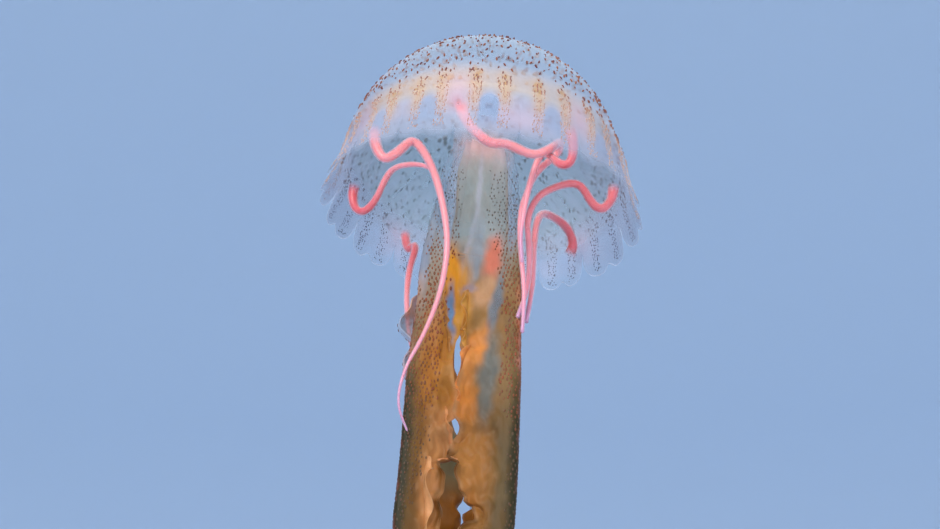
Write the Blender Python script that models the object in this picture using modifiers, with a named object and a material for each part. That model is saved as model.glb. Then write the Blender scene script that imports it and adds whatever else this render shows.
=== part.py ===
"""Mauve stinger jellyfish, life size, swimming on a plain display stand.

The model is in metres with +Z up and its origin at the centre of the stand base's underside. The
animal is laid out in its own frame: the origin is the centre of the ring on which the tentacles
leave the bell, +Z points to the top of the bell and azimuths run from the front (-Y) towards +X.
Sizes below are in millimetres and degrees unless a name says otherwise.
"""
import math

import bmesh
import bpy
from mathutils import Euler, Vector

MM = 0.001
GAP = 0.3

# Where the animal hangs over the stand, and how it banks.
RING_CENTRE = (4.0, 8.0, 206.0)
BANK_BACK = 12.0
BANK_SIDE = 5.6

# Bell: a hemisphere over a bowl-shaped hollow, with a belt of thin lappets below the ring.
BELL_RADIUS = 46.2
BELL_CENTRE_HEIGHT = 2.4
SQUASH_LOW, SQUASH_HIGH = -3.0, 16.0
SQUASH = (0.042, 0.03, 0.038)
DOME_SHIFT = -1.1
RING_POLAR = 93.0
HOLLOW_RADIUS = 43.8
HOLLOW_HEIGHT = 22.0
CROWN_POLAR = 50.0
CROWN_HOLLOW_POLAR = 36.0
CROWN_SEGMENTS = 36
LAPPET_DROP = 12.8
LAPPET_EDGE = 0.7
CLEFT_DROP = 3.0
NOTCH_DEPTH = 2.2
FRONT_DROOP = 2.2
FLARE_FRONT = -0.8
FLARE_SIDE = 3.6
TENTACLE_AZIMUTHS = (-53, -11, 36, 79, 132, 175, 219, 264)
LAPPET_COLUMNS = 6

# Oral arms: four in a square bundle, each a keel with two thin wings.
ARM_LENGTHS = (("upper", 0.0, 0.32), ("middle", 0.32, 0.64), ("lower", 0.64, 1.0))
ARM_STATIONS = 9
ARM_START = 3.0
ARM_HALF_WIDTH = ((-5, 10.4), (2, 11.8), (14, 12.9), (24, 14.0), (36, 15.0), (55, 15.5), (75, 16.1),
                  (115, 16.1), (135, 14.2), (155, 10.9), (172, 6.8), (190, 2.4))
ARM_DEPTH_RATIO = 0.74
ARM_CENTRE_SIDE = ((-22, -1.0), (-5, -1.3), (20, -0.9), (38, -0.8), (52, 0.1), (115, 2.2), (150, 3.8),
                   (190, 7.0))
ARM_BEND_START = 95.0
ARM_BEND_RATE = 0.0023
SEAM_SIDE = ((-5, 0.0), (50, -1.6), (62, -2.2), (72, -2.2), (82, -1.5), (90, -1.0), (103, -1.9),
             (110, -1.2), (119, 0.0), (150, 0.8), (190, 0.3))
SEAM_GAP = ((-5, 0.3), (60, 0.3), (70, 1.4), (77, 0.5), (86, 0.3), (90, 1.6), (94, 0.3), (98, 0.3),
            (101, 2.4), (106, 2.6), (111, 3.1), (120, 3.7), (132, 2.4), (150, 1.0), (190, 0.5))
FRILL_WAVE = 17.0
FRILL_SWING = 0.09
FLAP_REACH = ((42, 0.0), (56, 0.38), (72, 0.0))

# Mouth tube between the roof of the hollow and the arms.
MOUTH_HALF_WIDTHS = ((19.9, 9.6), (16.5, 8.4), (11.0, 8.4), (6.0, 9.3), (3.4, 10.4))
MOUTH_SIDES = 16

# Tentacles: route points are (azimuth, radius, height) in the animal's frame.
TENTACLE_ROOT_RADIUS = 1.65
TENTACLE_STEP = 4.2
ROUTE_EASING = 24
TENTACLES = {
    "front_left": (((-53, 41.4, 0.0), (-52, 42.2, -5), (-49, 41.4, -11), (-46, 39.5, -13.8),
                    (-42, 36.5, -9.3), (-40, 34, -5), (-36, 30.8, -7.8), (-32, 26, -14.4),
                    (-27, 21.5, -26), (-23, 20, -38), (-25, 20, -53), (-33, 21.6, -67),
                    (-39, 23.3, -75), (-42, 24, -82.5), (-43, 23, -88.5), (-40, 19.5, -94.5)), 3, 0.5),
    "front": (((-11.3, 41.3, 0.7), (-10, 39.1, -3.6), (-5, 37.1, -7.6), (3, 35.5, -10.6),
               (10, 34.5, -9), (18, 33.7, -9.5), (26, 34, -9.7), (33, 35.6, -6.4), (41, 34.2, -0.2),
               (46, 30.7, -1), (44, 28.7, -3.6), (42, 26.2, -5.7), (39, 23.9, -9.4), (38, 22.1, -15),
               (36, 21.1, -22), (38, 21.7, -34.5), (44, 22.2, -47), (47, 21.8, -61)), 3, 0.55),
    "front_right": (((36, 41.4, 0.0), (37, 42.2, -5), (38, 42.2, -9), (38, 41, -13),
                     (36, 38.5, -12.8), (36, 35.2, -9), (35.5, 31, -4.6), (35, 28.4, -5.6),
                     (34, 26.9, -10), (33, 25.8, -16), (32, 25, -25), (32, 24.6, -33),
                     (35, 24.7, -41)), 2, 0.5),
    "right": (((79, 41.2, -0.5), (79, 40.8, -6.6), (76, 38.4, -12), (74, 35.3, -10.6),
               (70, 32.4, -5.7), (66, 29.2, -5.3), (59, 25.2, -8.5), (52, 22.6, -12.2),
               (48, 20.8, -17.2), (48, 19.8, -23), (53, 20.2, -32), (54, 20.2, -44.5),
               (44, 20.4, -56)), 2, 0.7),
    "back_right": (((135, 41.4, -6.5), (131, 41, -2.3), (128, 36, 0.9), (124, 28.7, 0.4),
                    (115, 21.8, -2.9), (100, 18.2, -9.6), (90, 17.4, -17.7), (80, 17.8, -28.7),
                    (67, 19.4, -41), (54, 20.8, -56)), 2, 0.7),
    "back": (((175, 41.2, 0.0), (174, 40, -6), (172, 36.5, -9.5), (172, 32.8, -7), (172, 29.6, -2),
              (172, 27.6, -6), (172, 28, -14), (171, 31, -26), (172, 34.5, -40), (173, 37.5, -54)),
             2, 0.55),
    "back_left": (((-141, 41.2, 0.5), (-140.5, 39.5, -4), (-140, 36.5, -9.5), (-140, 33.4, -9),
                   (-138, 31.2, -13), (-136, 31.2, -20), (-134, 29.5, -32), (-136, 26.4, -48),
                   (-142, 23, -58), (-152, 21, -68)), 2, 0.4),
    "left": (((-96, 41.4, 0.0), (-98, 42, -5), (-98, 40.3, -10), (-96, 36.8, -12), (-92, 33.4, -9),
              (-86, 31.3, -4), (-80, 29.4, -1.4), (-70, 26.4, -1.9), (-55, 22.4, -4.2),
              (-42.5, 20.4, -9.5), (-35.5, 19.4, -20.5)), 2, 0.5),
}

# Stand.
BASE_RADIUS = 62.0
BASE_HEIGHT = 8.0
BASE_BEVEL = 1.6
BASE_SEGMENTS = 48
COLLAR_RADIUS = 8.0
COLLAR_HEIGHT = 7.0
ROD_RADIUS = 2.5
ROD_PLACE = (2.0, 23.0)
PAD_RADIUS = 5.4
PAD_THICKNESS = 1.8

COLOURS = {
    "bell": ((0.62, 0.70, 0.80), 0.25, 0.0),
    "arm": ((0.66, 0.42, 0.22), 0.35, 0.0),
    "tentacle": ((0.92, 0.42, 0.42), 0.28, 0.0),
    "stand": ((0.05, 0.05, 0.055), 0.3, 0.0),
    "steel": ((0.72, 0.73, 0.75), 0.25, 1.0),
}


def smooth_table(table, x):
    """Value at x of a smooth curve through (x, value) pairs, level beyond its ends."""
    if x <= table[0][0]:
        return table[0][1]
    for i in range(len(table) - 1):
        (x0, y0), (x1, y1) = table[i], table[i + 1]
        if x <= x1:
            t = (x - x0) / (x1 - x0)
            return y0 + (y1 - y0) * t * t * (3 - 2 * t)
    return table[-1][1]


def around(azimuth, radius, height):
    """Point of the animal's frame, in millimetres, at an azimuth, radius and height."""
    a = math.radians(azimuth)
    return Vector((radius * math.sin(a), -radius * math.cos(a), height))


def squashed(point):
    """Place on the bell after its dome is drawn in and shifted a little to one side."""
    t = min(1.0, max(0.0, (point.z - SQUASH_LOW) / (SQUASH_HIGH - SQUASH_LOW)))
    share = t * t * (3 - 2 * t)
    side, back, rise = (1 - s * share for s in SQUASH)
    return Vector((point.x * side + DOME_SHIFT * share, point.y * back, point.z * rise))


def clear_scene():
    for obj in list(bpy.data.objects):
        bpy.data.objects.remove(obj, do_unlink=True)


def make_material(name):
    colour, roughness, metallic = COLOURS[name]
    material = bpy.data.materials.new(name)
    material.use_nodes = True
    shader = material.node_tree.nodes["Principled BSDF"]
    shader.inputs["Base Color"].default_value = (*colour, 1.0)
    shader.inputs["Roughness"].default_value = roughness
    shader.inputs["Metallic"].default_value = metallic
    return material


def add_object(name, data, material, collection, parent=None):
    """Put a mesh or curve in the collection under its parent, with its material."""
    obj = bpy.data.objects.new(name, data)
    data.materials.append(material)
    collection.objects.link(obj)
    obj.parent = parent
    return obj


def loft(name, rings):
    """Closed mesh through rings of like-numbered points, in millimetres, with both ends filled."""
    bm = bmesh.new()
    loops = [[bm.verts.new(Vector(p) * MM) for p in ring] for ring in rings]
    count = len(loops[0])
    for low, high in zip(loops, loops[1:]):
        for i in range(count):
            j = (i + 1) % count
            bm.faces.new((low[i], low[j], high[j], high[i]))
    bm.faces.new(loops[0][::-1])
    bm.faces.new(loops[-1])
    bmesh.ops.triangulate(bm, faces=bm.faces[:])
    bmesh.ops.recalc_face_normals(bm, faces=bm.faces[:])
    if bm.calc_volume(signed=True) < 0:
        bmesh.ops.reverse_faces(bm, faces=bm.faces[:])
    mesh = bpy.data.meshes.new(name)
    bm.to_mesh(mesh)
    bm.free()
    mesh.shade_smooth()
    mesh.set_sharp_from_angle(angle=math.radians(50))
    return mesh


# ---------------------------------------------------------------- bell

def bell_outside(polar):
    """Radius and height of the bell's outer surface at an angle from its top."""
    p = math.radians(polar)
    return BELL_RADIUS * math.sin(p), BELL_CENTRE_HEIGHT + BELL_RADIUS * math.cos(p)


def bell_inside(polar):
    """Radius and height of the hollow's surface; polar 90 is the ring."""
    p = math.radians(polar)
    return HOLLOW_RADIUS * math.sin(p), HOLLOW_HEIGHT * math.cos(p)


def lappet_drop(azimuth, part):
    """How far the margin hangs at a fraction of one lappet's width: two lobes and a notch."""
    rounded = (1 - abs(2 * part - 1) ** 5) ** 0.5
    notch = NOTCH_DEPTH * math.exp(-((part - 0.5) / 0.09) ** 2)
    droop = FRONT_DROOP * max(0.0, math.cos(math.radians(azimuth))) ** 2
    return CLEFT_DROP + (LAPPET_DROP + droop - CLEFT_DROP) * rounded - notch


def margin_flare(azimuth):
    """How far the tip of a lappet stands out from the ring."""
    return FLARE_FRONT + (FLARE_SIDE - FLARE_FRONT) * math.sin(math.radians(azimuth)) ** 2


def wall_section(azimuth, drop):
    """Closed outline of the bell wall at one azimuth, from the crown's cut round the lappet's tip."""
    ring_radius, ring_height = bell_outside(RING_POLAR)
    flare = margin_flare(azimuth)
    outside = [bell_outside(CROWN_POLAR + 0.4 + (RING_POLAR - CROWN_POLAR - 0.4) * k / 4) for k in range(5)]
    lappet_out, lappet_in = [], []
    for part in (0.5, 1.0):
        depth = drop * part
        radius = ring_radius + flare * (depth / LAPPET_DROP) ** 1.5
        thick = (BELL_RADIUS - HOLLOW_RADIUS) * (1 - part) + LAPPET_EDGE * part
        lappet_out.append((radius, ring_height - depth))
        lappet_in.append((radius - thick, ring_height - depth))
    hollow_start = CROWN_HOLLOW_POLAR + 0.5
    inside = [bell_inside(90 - (90 - hollow_start) * k / 3) for k in range(4)]
    outline = outside + lappet_out + lappet_in[::-1] + inside
    return [squashed(around(azimuth, r, h)) for r, h in outline]


def octant_azimuths(index):
    """First and last azimuth of the wall piece that carries one tentacle in its middle."""
    count = len(TENTACLE_AZIMUTHS)
    here = TENTACLE_AZIMUTHS[index]
    before = TENTACLE_AZIMUTHS[index - 1] - (360 if index == 0 else 0)
    after = TENTACLE_AZIMUTHS[(index + 1) % count] + (360 if index == count - 1 else 0)
    clearance = math.degrees(GAP / 25.0) / 2
    return (before + here) / 2 + clearance, here, (here + after) / 2 - clearance


def build_bell(material, collection, frame):
    outer = [bell_outside(CROWN_POLAR * k / 5) for k in range(6)]
    inner = [bell_inside(CROWN_HOLLOW_POLAR * (1 - k / 3)) for k in range(4)]
    bm = bmesh.new()
    profile = [bm.verts.new((r, 0.0, h)) for r, h in outer + inner]
    edges = [bm.edges.new(pair) for pair in zip(profile, profile[1:])]
    bmesh.ops.spin(bm, geom=profile + edges, cent=(0, 0, 0), axis=(0, 0, 1), angle=2 * math.pi,
                   steps=CROWN_SEGMENTS, use_merge=True)
    bmesh.ops.remove_doubles(bm, verts=bm.verts, dist=0.01)
    bmesh.ops.recalc_face_normals(bm, faces=bm.faces)
    for vert in bm.verts:
        vert.co = squashed(vert.co) * MM
    mesh = bpy.data.meshes.new("bell_crown")
    bm.to_mesh(mesh)
    bm.free()
    add_object("bell_crown", mesh, material, collection, frame)
    for index in range(len(TENTACLE_AZIMUTHS)):
        start, middle, end = octant_azimuths(index)
        rings = []
        for low, high in ((start, middle), (middle, end)):
            first = 1 if rings else 0
            for column in range(first, LAPPET_COLUMNS + 1):
                part = column / LAPPET_COLUMNS
                azimuth = low + (high - low) * part
                rings.append(wall_section(azimuth, lappet_drop(azimuth, part)))
        name = f"bell_wall_{index + 1}"
        add_object(name, loft(name, rings), material, collection, frame)


# ---------------------------------------------------------------- mouth and arms

def arm_centre(depth):
    """Centre of the arm bundle at a depth below the ring."""
    bend = max(0.0, depth - ARM_BEND_START)
    return smooth_table(ARM_CENTRE_SIDE, depth), 0.5 * ARM_BEND_RATE * bend * bend


def build_mouth(material, collection, frame):
    rings = []
    for height, half in MOUTH_HALF_WIDTHS:
        side, back = arm_centre(-height)
        ring = []
        for i in range(MOUTH_SIDES):
            a = 2 * math.pi * i / MOUTH_SIDES
            c, s = math.cos(a), math.sin(a)
            square = (abs(c) ** 3 + abs(s) ** 3) ** (-1 / 3)
            ring.append((side + half * square * c, back + half * ARM_DEPTH_RATIO * square * s, height))
        rings.append(ring)
    add_object("mouth_tube", loft("mouth_tube", rings), material, collection, frame)


def arm_section(side, face, depth, phase):
    """Outline of one arm: a thick keel at the corner of the bundle and a thin wing either way.

    side is -1 or 1 for left or right, face -1 or 1 for front or back.
    """
    centre_side, centre_back = arm_centre(depth)
    half_width = smooth_table(ARM_HALF_WIDTH, depth)
    half_depth = half_width * ARM_DEPTH_RATIO
    seam = smooth_table(SEAM_GAP, depth)
    swing = FRILL_SWING * math.sin(2 * math.pi * depth / FRILL_WAVE + phase)
    seam_centre = smooth_table(SEAM_SIDE, depth) if face < 0 else 0.0
    front_tip = (seam + side * seam_centre) / half_width
    side_tip = (0.3 + 0.6 * abs(math.sin(math.pi * depth / FRILL_WAVE))) / half_depth
    flap = smooth_table(FLAP_REACH, depth) if side < 0 < face else 0.0
    front_thin, side_thin = 0.8 / half_depth, 0.8 / half_width
    outline = (
        (front_tip, 0.86 + swing), (0.5, 0.93 + swing / 3), (0.82, 1.0), (0.97, 0.97),
        (1.0, 0.78), (0.96, 0.45 + flap / 3), (0.9 - swing + flap, side_tip),
        (0.9 - swing + flap - side_thin, side_tip), (0.82, 0.45), (0.7, 0.6),
        (0.5, 0.78 + swing / 3), (front_tip, 0.86 + swing - front_thin))
    return [(centre_side + side * a * half_width, centre_back + face * b * half_depth, -depth)
            for a, b in outline]


def build_arms(material, collection, frame):
    corners = {"front_left": (-1, -1, 188.0), "front_right": (1, -1, 182.0),
               "back_left": (-1, 1, 176.0), "back_right": (1, 1, 183.0)}
    for number, (corner, (side, face, end)) in enumerate(corners.items()):
        start = -ARM_START
        for part, low, high in ARM_LENGTHS:
            first = start + (end - start) * low + (GAP / 2 if low > 0 else 0)
            last = start + (end - start) * high - (GAP / 2 if high < 1 else 0)
            depths = [first + (last - first) * k / (ARM_STATIONS - 1) for k in range(ARM_STATIONS)]
            rings = [arm_section(side, face, depth, 1.7 * number) for depth in depths]
            name = f"arm_{corner}_{part}"
            add_object(name, loft(name, rings), material, collection, frame)


# ---------------------------------------------------------------- tentacles

def smooth_route(points, step):
    """Points about a step apart on a smooth curve through the route's own points."""
    path = [points[0] * 2 - points[1]] + points + [points[-1] * 2 - points[-2]]
    fine = []
    for p0, p1, p2, p3 in zip(path, path[1:], path[2:], path[3:]):
        for k in range(12):
            t = k / 12
            fine.append(0.5 * (2 * p1 + (p2 - p0) * t + (2 * p0 - 5 * p1 + 4 * p2 - p3) * t * t
                               + (3 * p1 - p0 - 3 * p2 + p3) * t ** 3))
    fine.append(points[-1])
    for _ in range(ROUTE_EASING):
        middle = [(a + 2 * b + c) / 4 for a, b, c in zip(fine, fine[1:], fine[2:])]
        fine = [fine[0]] + middle + [fine[-1]]
    lengths = [0.0]
    for a, b in zip(fine, fine[1:]):
        lengths.append(lengths[-1] + (b - a).length)
    count = max(6, round(lengths[-1] / step))
    return [place_at(fine, lengths, lengths[-1] * k / count) for k in range(count + 1)]


def place_at(fine, lengths, wanted):
    """Point at a given length along a finely divided route."""
    for i in range(len(fine) - 1):
        if lengths[i + 1] >= wanted:
            t = (wanted - lengths[i]) / (lengths[i + 1] - lengths[i])
            return fine[i].lerp(fine[i + 1], t)
    return fine[-1].copy()


def tentacle_radius(fraction, tip):
    """Radius along a tentacle: thick and even at its root, then thinning to the tip's radius."""
    return tip + (TENTACLE_ROOT_RADIUS - tip) * (1 - min(1.0, fraction) ** 0.75)


def build_tentacles(material, collection, frame):
    for name, (route, pieces, tip) in TENTACLES.items():
        points = smooth_route([around(*p) for p in route], TENTACLE_STEP)
        last = len(points) - 1
        for piece in range(pieces):
            low = round(last * piece / pieces)
            high = round(last * (piece + 1) / pieces)
            run = [p.copy() for p in points[low:high + 1]]
            if piece > 0:
                run[0] += (run[1] - run[0]).normalized() * GAP / 2
            if piece < pieces - 1:
                run[-1] += (run[-2] - run[-1]).normalized() * GAP / 2
            curve = bpy.data.curves.new(f"tentacle_{name}_{piece + 1}", "CURVE")
            curve.dimensions = "3D"
            curve.bevel_depth = MM
            curve.bevel_resolution = 2
            curve.use_fill_caps = True
            spline = curve.splines.new("POLY")
            spline.points.add(len(run) - 1)
            for k, place in enumerate(run):
                spline.points[k].co = (*(place * MM), 1.0)
                spline.points[k].radius = tentacle_radius((low + k) / last, tip)
            add_object(curve.name, curve, material, collection, frame)


# ---------------------------------------------------------------- stand

def build_stand(base_material, rod_material, collection):
    bpy.ops.mesh.primitive_cylinder_add(vertices=BASE_SEGMENTS, radius=BASE_RADIUS * MM,
                                        depth=BASE_HEIGHT * MM, location=(0, 0, BASE_HEIGHT * MM / 2))
    base = bpy.context.object
    base.name = "stand_base"
    bevel = base.modifiers.new("rounded rim", "BEVEL")
    bevel.width = BASE_BEVEL * MM
    bevel.segments = 2
    collar_height = COLLAR_HEIGHT * MM
    collar_low = (BASE_HEIGHT + GAP) * MM
    place = (ROD_PLACE[0] * MM, ROD_PLACE[1] * MM)
    bpy.ops.mesh.primitive_cone_add(vertices=24, radius1=COLLAR_RADIUS * MM,
                                    radius2=COLLAR_RADIUS * 0.6 * MM, depth=collar_height,
                                    location=(*place, collar_low + collar_height / 2))
    collar = bpy.context.object
    collar.name = "stand_collar"
    pad_centre = pad_place()
    rod_low = collar_low + collar_height + GAP * MM
    rod_high = (pad_centre.z - PAD_THICKNESS / 2 - 1.4 * GAP) * MM
    bpy.ops.mesh.primitive_cylinder_add(vertices=16, radius=ROD_RADIUS * MM, depth=rod_high - rod_low,
                                        location=(*place, (rod_low + rod_high) / 2))
    rod = bpy.context.object
    rod.name = "stand_rod"
    bpy.ops.mesh.primitive_cylinder_add(vertices=20, radius=PAD_RADIUS * MM, depth=PAD_THICKNESS * MM,
                                        location=pad_centre * MM)
    pad = bpy.context.object
    pad.name = "stand_pad"
    for obj, material in ((base, base_material), (collar, rod_material), (rod, rod_material),
                          (pad, rod_material)):
        for old in list(obj.users_collection):
            old.objects.unlink(obj)
        collection.objects.link(obj)
        obj.data.materials.append(material)
        obj.data.shade_smooth()
        obj.data.set_sharp_from_angle(angle=math.radians(40))


def frame_rotation():
    """Turn of the animal's frame: banked back, then to its side."""
    return Euler((math.radians(-BANK_BACK), math.radians(BANK_SIDE), 0.0), "XYZ").to_matrix()


def pad_place():
    """Centre of the pad on the rod, in world millimetres: level, just under the hollow's roof."""
    turn = frame_rotation()
    rim_heights = []
    for k in range(24):
        a = 2 * math.pi * k / 24
        over = Vector((ROD_PLACE[0] + PAD_RADIUS * math.cos(a), ROD_PLACE[1] + PAD_RADIUS * math.sin(a), 0))
        rim_heights.append(roof_height(over.x, over.y, turn))
    height = min(rim_heights) - GAP - PAD_THICKNESS / 2
    return Vector((*ROD_PLACE, height))


def roof_height(x, y, turn):
    """World height of the hollow's roof over a point, by halving a vertical line."""
    low, high = RING_CENTRE[2], RING_CENTRE[2] + HOLLOW_HEIGHT + 10.0
    for _ in range(30):
        middle = (low + high) / 2
        local = turn.transposed() @ (Vector((x, y, middle)) - Vector(RING_CENTRE))
        local.x -= DOME_SHIFT
        side, back, rise = (local[axis] / (1 - SQUASH[axis]) for axis in range(3))
        inside = (side * side + back * back) / HOLLOW_RADIUS ** 2 + (rise / HOLLOW_HEIGHT) ** 2 < 1
        low, high = (middle, high) if inside else (low, middle)
    return low


def main():
    clear_scene()
    collection = bpy.data.collections.new("mauve_stinger")
    bpy.context.scene.collection.children.link(collection)
    materials = {name: make_material(name) for name in COLOURS}
    frame = bpy.data.objects.new("animal_frame", None)
    frame.location = Vector(RING_CENTRE) * MM
    frame.rotation_euler = (math.radians(-BANK_BACK), math.radians(BANK_SIDE), 0.0)
    collection.objects.link(frame)
    build_bell(materials["bell"], collection, frame)
    build_mouth(materials["arm"], collection, frame)
    build_arms(materials["arm"], collection, frame)
    build_tentacles(materials["tentacle"], collection, frame)
    build_stand(materials["stand"], materials["steel"], collection)


main()
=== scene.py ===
"""Looks of a life-size mauve stinger jellyfish held by a plain display stand.

The animal is laid out in its own frame: the origin is the centre of the ring on which the tentacles
leave the bell, +Z points to the top of the bell and azimuths run from the front (-Y) towards +X.
Lengths are in millimetres and angles in degrees; to_part turns such points into the part's metres.
"""
import logging
import math
from dataclasses import dataclass
from enum import Enum, IntEnum
from typing import Callable

import bpy
import numpy as np
from mathutils import Euler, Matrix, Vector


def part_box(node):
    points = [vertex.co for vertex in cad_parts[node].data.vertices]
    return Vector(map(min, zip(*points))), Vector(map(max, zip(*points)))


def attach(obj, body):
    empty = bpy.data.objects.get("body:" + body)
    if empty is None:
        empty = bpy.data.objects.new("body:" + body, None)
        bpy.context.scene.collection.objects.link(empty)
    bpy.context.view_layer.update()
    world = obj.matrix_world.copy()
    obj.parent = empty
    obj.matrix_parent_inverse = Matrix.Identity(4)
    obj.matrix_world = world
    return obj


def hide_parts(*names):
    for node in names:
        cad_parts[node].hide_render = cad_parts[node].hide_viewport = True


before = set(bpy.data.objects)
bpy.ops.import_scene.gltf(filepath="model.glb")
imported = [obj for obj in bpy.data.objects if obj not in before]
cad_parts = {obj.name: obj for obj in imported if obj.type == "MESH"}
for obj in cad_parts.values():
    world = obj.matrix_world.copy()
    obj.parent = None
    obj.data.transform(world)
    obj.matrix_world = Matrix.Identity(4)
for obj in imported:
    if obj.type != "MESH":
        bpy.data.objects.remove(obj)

Array = np.ndarray
Object = bpy.types.Object

LOG = logging.getLogger("jellyfish")
MM = 0.001
WELD = 1e-6
RING_CENTRE = (4.0, 8.0, 206.0)
BANK_BACK = 12.0
BANK_SIDE = 5.6
RIPPLE_LENGTHS = (7.9, 5.3, 3.7, 2.9)
SPAN_PARTS = 12
FEWEST_STEPS = 30


class Slot(Enum):
    """Finishes that the record names."""

    BELL = "bell_jelly"
    ARM = "arm_tissue"
    TENTACLE = "tentacle_tissue"
    BASE = "stand_base"
    STEEL = "stand_steel"


class Side(IntEnum):
    """Left or right half of the bundle of arms."""

    LEFT = -1
    RIGHT = 1


class Face(IntEnum):
    """Front or back half of the bundle of arms."""

    FRONT = -1
    BACK = 1


# ---------------------------------------------------------------- numbers and colours

def shade(red: float, green: float, blue: float) -> Array:
    """Linear colour from the three display values, 0 to 255."""
    share = np.array([red, green, blue]) / 255.0
    return np.where(share <= 0.04045, share / 12.92, ((share + 0.055) / 1.055) ** 2.4)


def blend(first: Array, second: Array, share: Array) -> Array:
    """Mix of two values: the first where the share is 0 and the second where it is 1."""
    return first * (1.0 - share) + second * share


def ease(low: float, high: float, x: Array) -> Array:
    """Smooth step from 0 at low to 1 at high."""
    t = np.clip((np.asarray(x, float) - low) / (high - low), 0.0, 1.0)
    return t * t * (3.0 - 2.0 * t)


def hump(centre: float, width: float, x: Array) -> Array:
    """Bell curve of height 1 round a centre."""
    return np.exp(-((np.asarray(x, float) - centre) / width) ** 2)


def smooth_table(table: tuple, x: Array) -> Array:
    """Values at x of a smooth curve through (x, value) pairs, level beyond its ends.

    Args:
        table: The pairs, rising in x.
        x: Where to read the curve.

    Returns:
        The values.
    """
    x = np.asarray(x, float)
    value = np.full(x.shape, float(table[0][1]))
    for (x0, y0), (x1, y1) in zip(table, table[1:]):
        value = np.where(x > x0, y0 + (y1 - y0) * ease(x0, x1, x), value)
    return value


def ripple(x: Array, y: Array, phase: float = 0.0) -> Array:
    """Smooth irregular waves over a plane, about -1 to 1 and some three to eight units long.

    Args:
        x: First coordinate.
        y: Second coordinate.
        phase: Turns the waves, so that two sets differ.

    Returns:
        The height of the waves.
    """
    total = np.zeros(np.broadcast(x, y).shape)
    for number, length in enumerate(RIPPLE_LENGTHS):
        turn = 0.5 + 1.9 * number + phase
        ahead = x * math.cos(turn) + y * math.sin(turn)
        across = x * math.sin(turn) - y * math.cos(turn)
        bent = 2.0 * math.pi * ahead / length + 1.2 * np.sin(2.0 * math.pi * across / (1.7 * length) + turn)
        total += np.sin(bent) * length / 14.0
    return total


def behind(row: Array, start: float, rows: float) -> Array:
    """Share of a band of rows that lies behind each row, 0 to 1."""
    return np.clip((row - start) / rows, 0.0, 1.0)


def spline(before: Array, start: Array, end: Array, after: Array, t: Array) -> Array:
    """Place at share t of the smooth curve from start to end, given the knots before and after them.

    Args:
        before: The knot before the start.
        start: The knot where the curve starts.
        end: The knot where it ends.
        after: The knot after the end.
        t: Share of the way.

    Returns:
        The place.
    """
    return 0.5 * (2.0 * start + (end - before) * t
                  + (2.0 * before - 5.0 * start + 4.0 * end - after) * t * t
                  + (3.0 * start - before - 3.0 * end + after) * t ** 3)


def lengthened(knots: Array) -> Array:
    """The same knots with one more at each end, straight on from the last two."""
    return np.concatenate([2.0 * knots[:1] - knots[1:2], knots, 2.0 * knots[-1:] - knots[-2:-1]])


def soften(values: Array, rounds: int) -> Array:
    """Values along a line, each drawn towards its neighbours a number of times over.

    Args:
        values: The values, one row for each point.
        rounds: How many times.

    Returns:
        New values, with the first and last unchanged.
    """
    values = values.copy()
    for _ in range(rounds):
        values[1:-1] = (values[:-2] + 2.0 * values[1:-1] + values[2:]) / 4.0
    return values


def run_along(line: Array) -> Array:
    """Distance along a line from its first point to each of its points."""
    return np.concatenate([[0.0], np.cumsum(np.linalg.norm(np.diff(line, axis=0), axis=1))])


def even_line(knots: Array, step: float, easing: int) -> Array:
    """Evenly spaced points, a step or so apart, of a smooth curve through knots, eased a few times over.

    Args:
        knots: Points that the curve runs through.
        step: Distance between the new points.
        easing: How many times the curve is softened.

    Returns:
        The new points.
    """
    path = lengthened(knots)
    t = (np.arange(SPAN_PARTS) / SPAN_PARTS)[:, None]
    spans = [spline(*four, t) for four in zip(path, path[1:], path[2:], path[3:])]
    fine = soften(np.concatenate(spans + [knots[-1:]]), easing)
    run = run_along(fine)
    even = np.linspace(0.0, run[-1], max(FEWEST_STEPS, round(run[-1] / step)) + 1)
    return np.stack([np.interp(even, run, fine[:, axis]) for axis in range(3)], axis=1)


def unit(rows: Array) -> Array:
    """The same directions with length 1."""
    return rows / np.linalg.norm(rows, axis=-1, keepdims=True)


def bent_reach(length: Array, angle: Array) -> tuple[Array, Array]:
    """How far a strip reaches ahead and aside once it is bent evenly through an angle in radians."""
    half = angle / 2.0
    return length * np.sinc(angle / math.pi), length * np.sin(half) * np.sinc(half / math.pi)


def signed(azimuth: Array) -> Array:
    """The same azimuths counted from -180 to 180."""
    return np.mod(np.asarray(azimuth, float) + 180.0, 360.0) - 180.0


def around(azimuth: Array, radius: Array, height: Array) -> Array:
    """Points of the animal's frame at azimuths, radii and heights."""
    a = np.radians(azimuth)
    return np.stack([radius * np.sin(a), -radius * np.cos(a), np.broadcast_to(height, a.shape)], axis=-1)


def to_part(points: Array) -> Array:
    """Points of the part's frame, in metres, from points of the animal's frame."""
    turn = np.array(Euler((math.radians(-BANK_BACK), math.radians(BANK_SIDE), 0.0), "XYZ").to_matrix())
    return (points @ turn.T + np.array(RING_CENTRE)) * MM


class Paint:
    """Colour and solidity of each point of a tissue, put on in layers from the ground up."""

    def __init__(self, count: int, ground: Array, haze: float) -> None:
        """Start with one colour and one solidity all over.

        Args:
            count: How many points there are.
            ground: The first colour.
            haze: The first solidity, 0 for clear and 1 for solid.
        """
        self.tint = np.tile(ground, (count, 1))
        self.haze = np.full(count, haze)

    def lay(self, weight: Array, colour: Array, haze: float | None = None) -> None:
        """Blend a colour, and a solidity if one is given, over the tissue by a weight for each point.

        Args:
            weight: How much of the new layer shows, 0 to 1.
            colour: Its colour.
            haze: Its solidity, or None to leave the solidity alone.
        """
        weight = np.clip(weight, 0.0, 1.0)
        self.tint += (colour - self.tint) * weight[:, None]
        if haze is not None:
            self.haze += (haze - self.haze) * weight


# ---------------------------------------------------------------- modelling helpers

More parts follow.
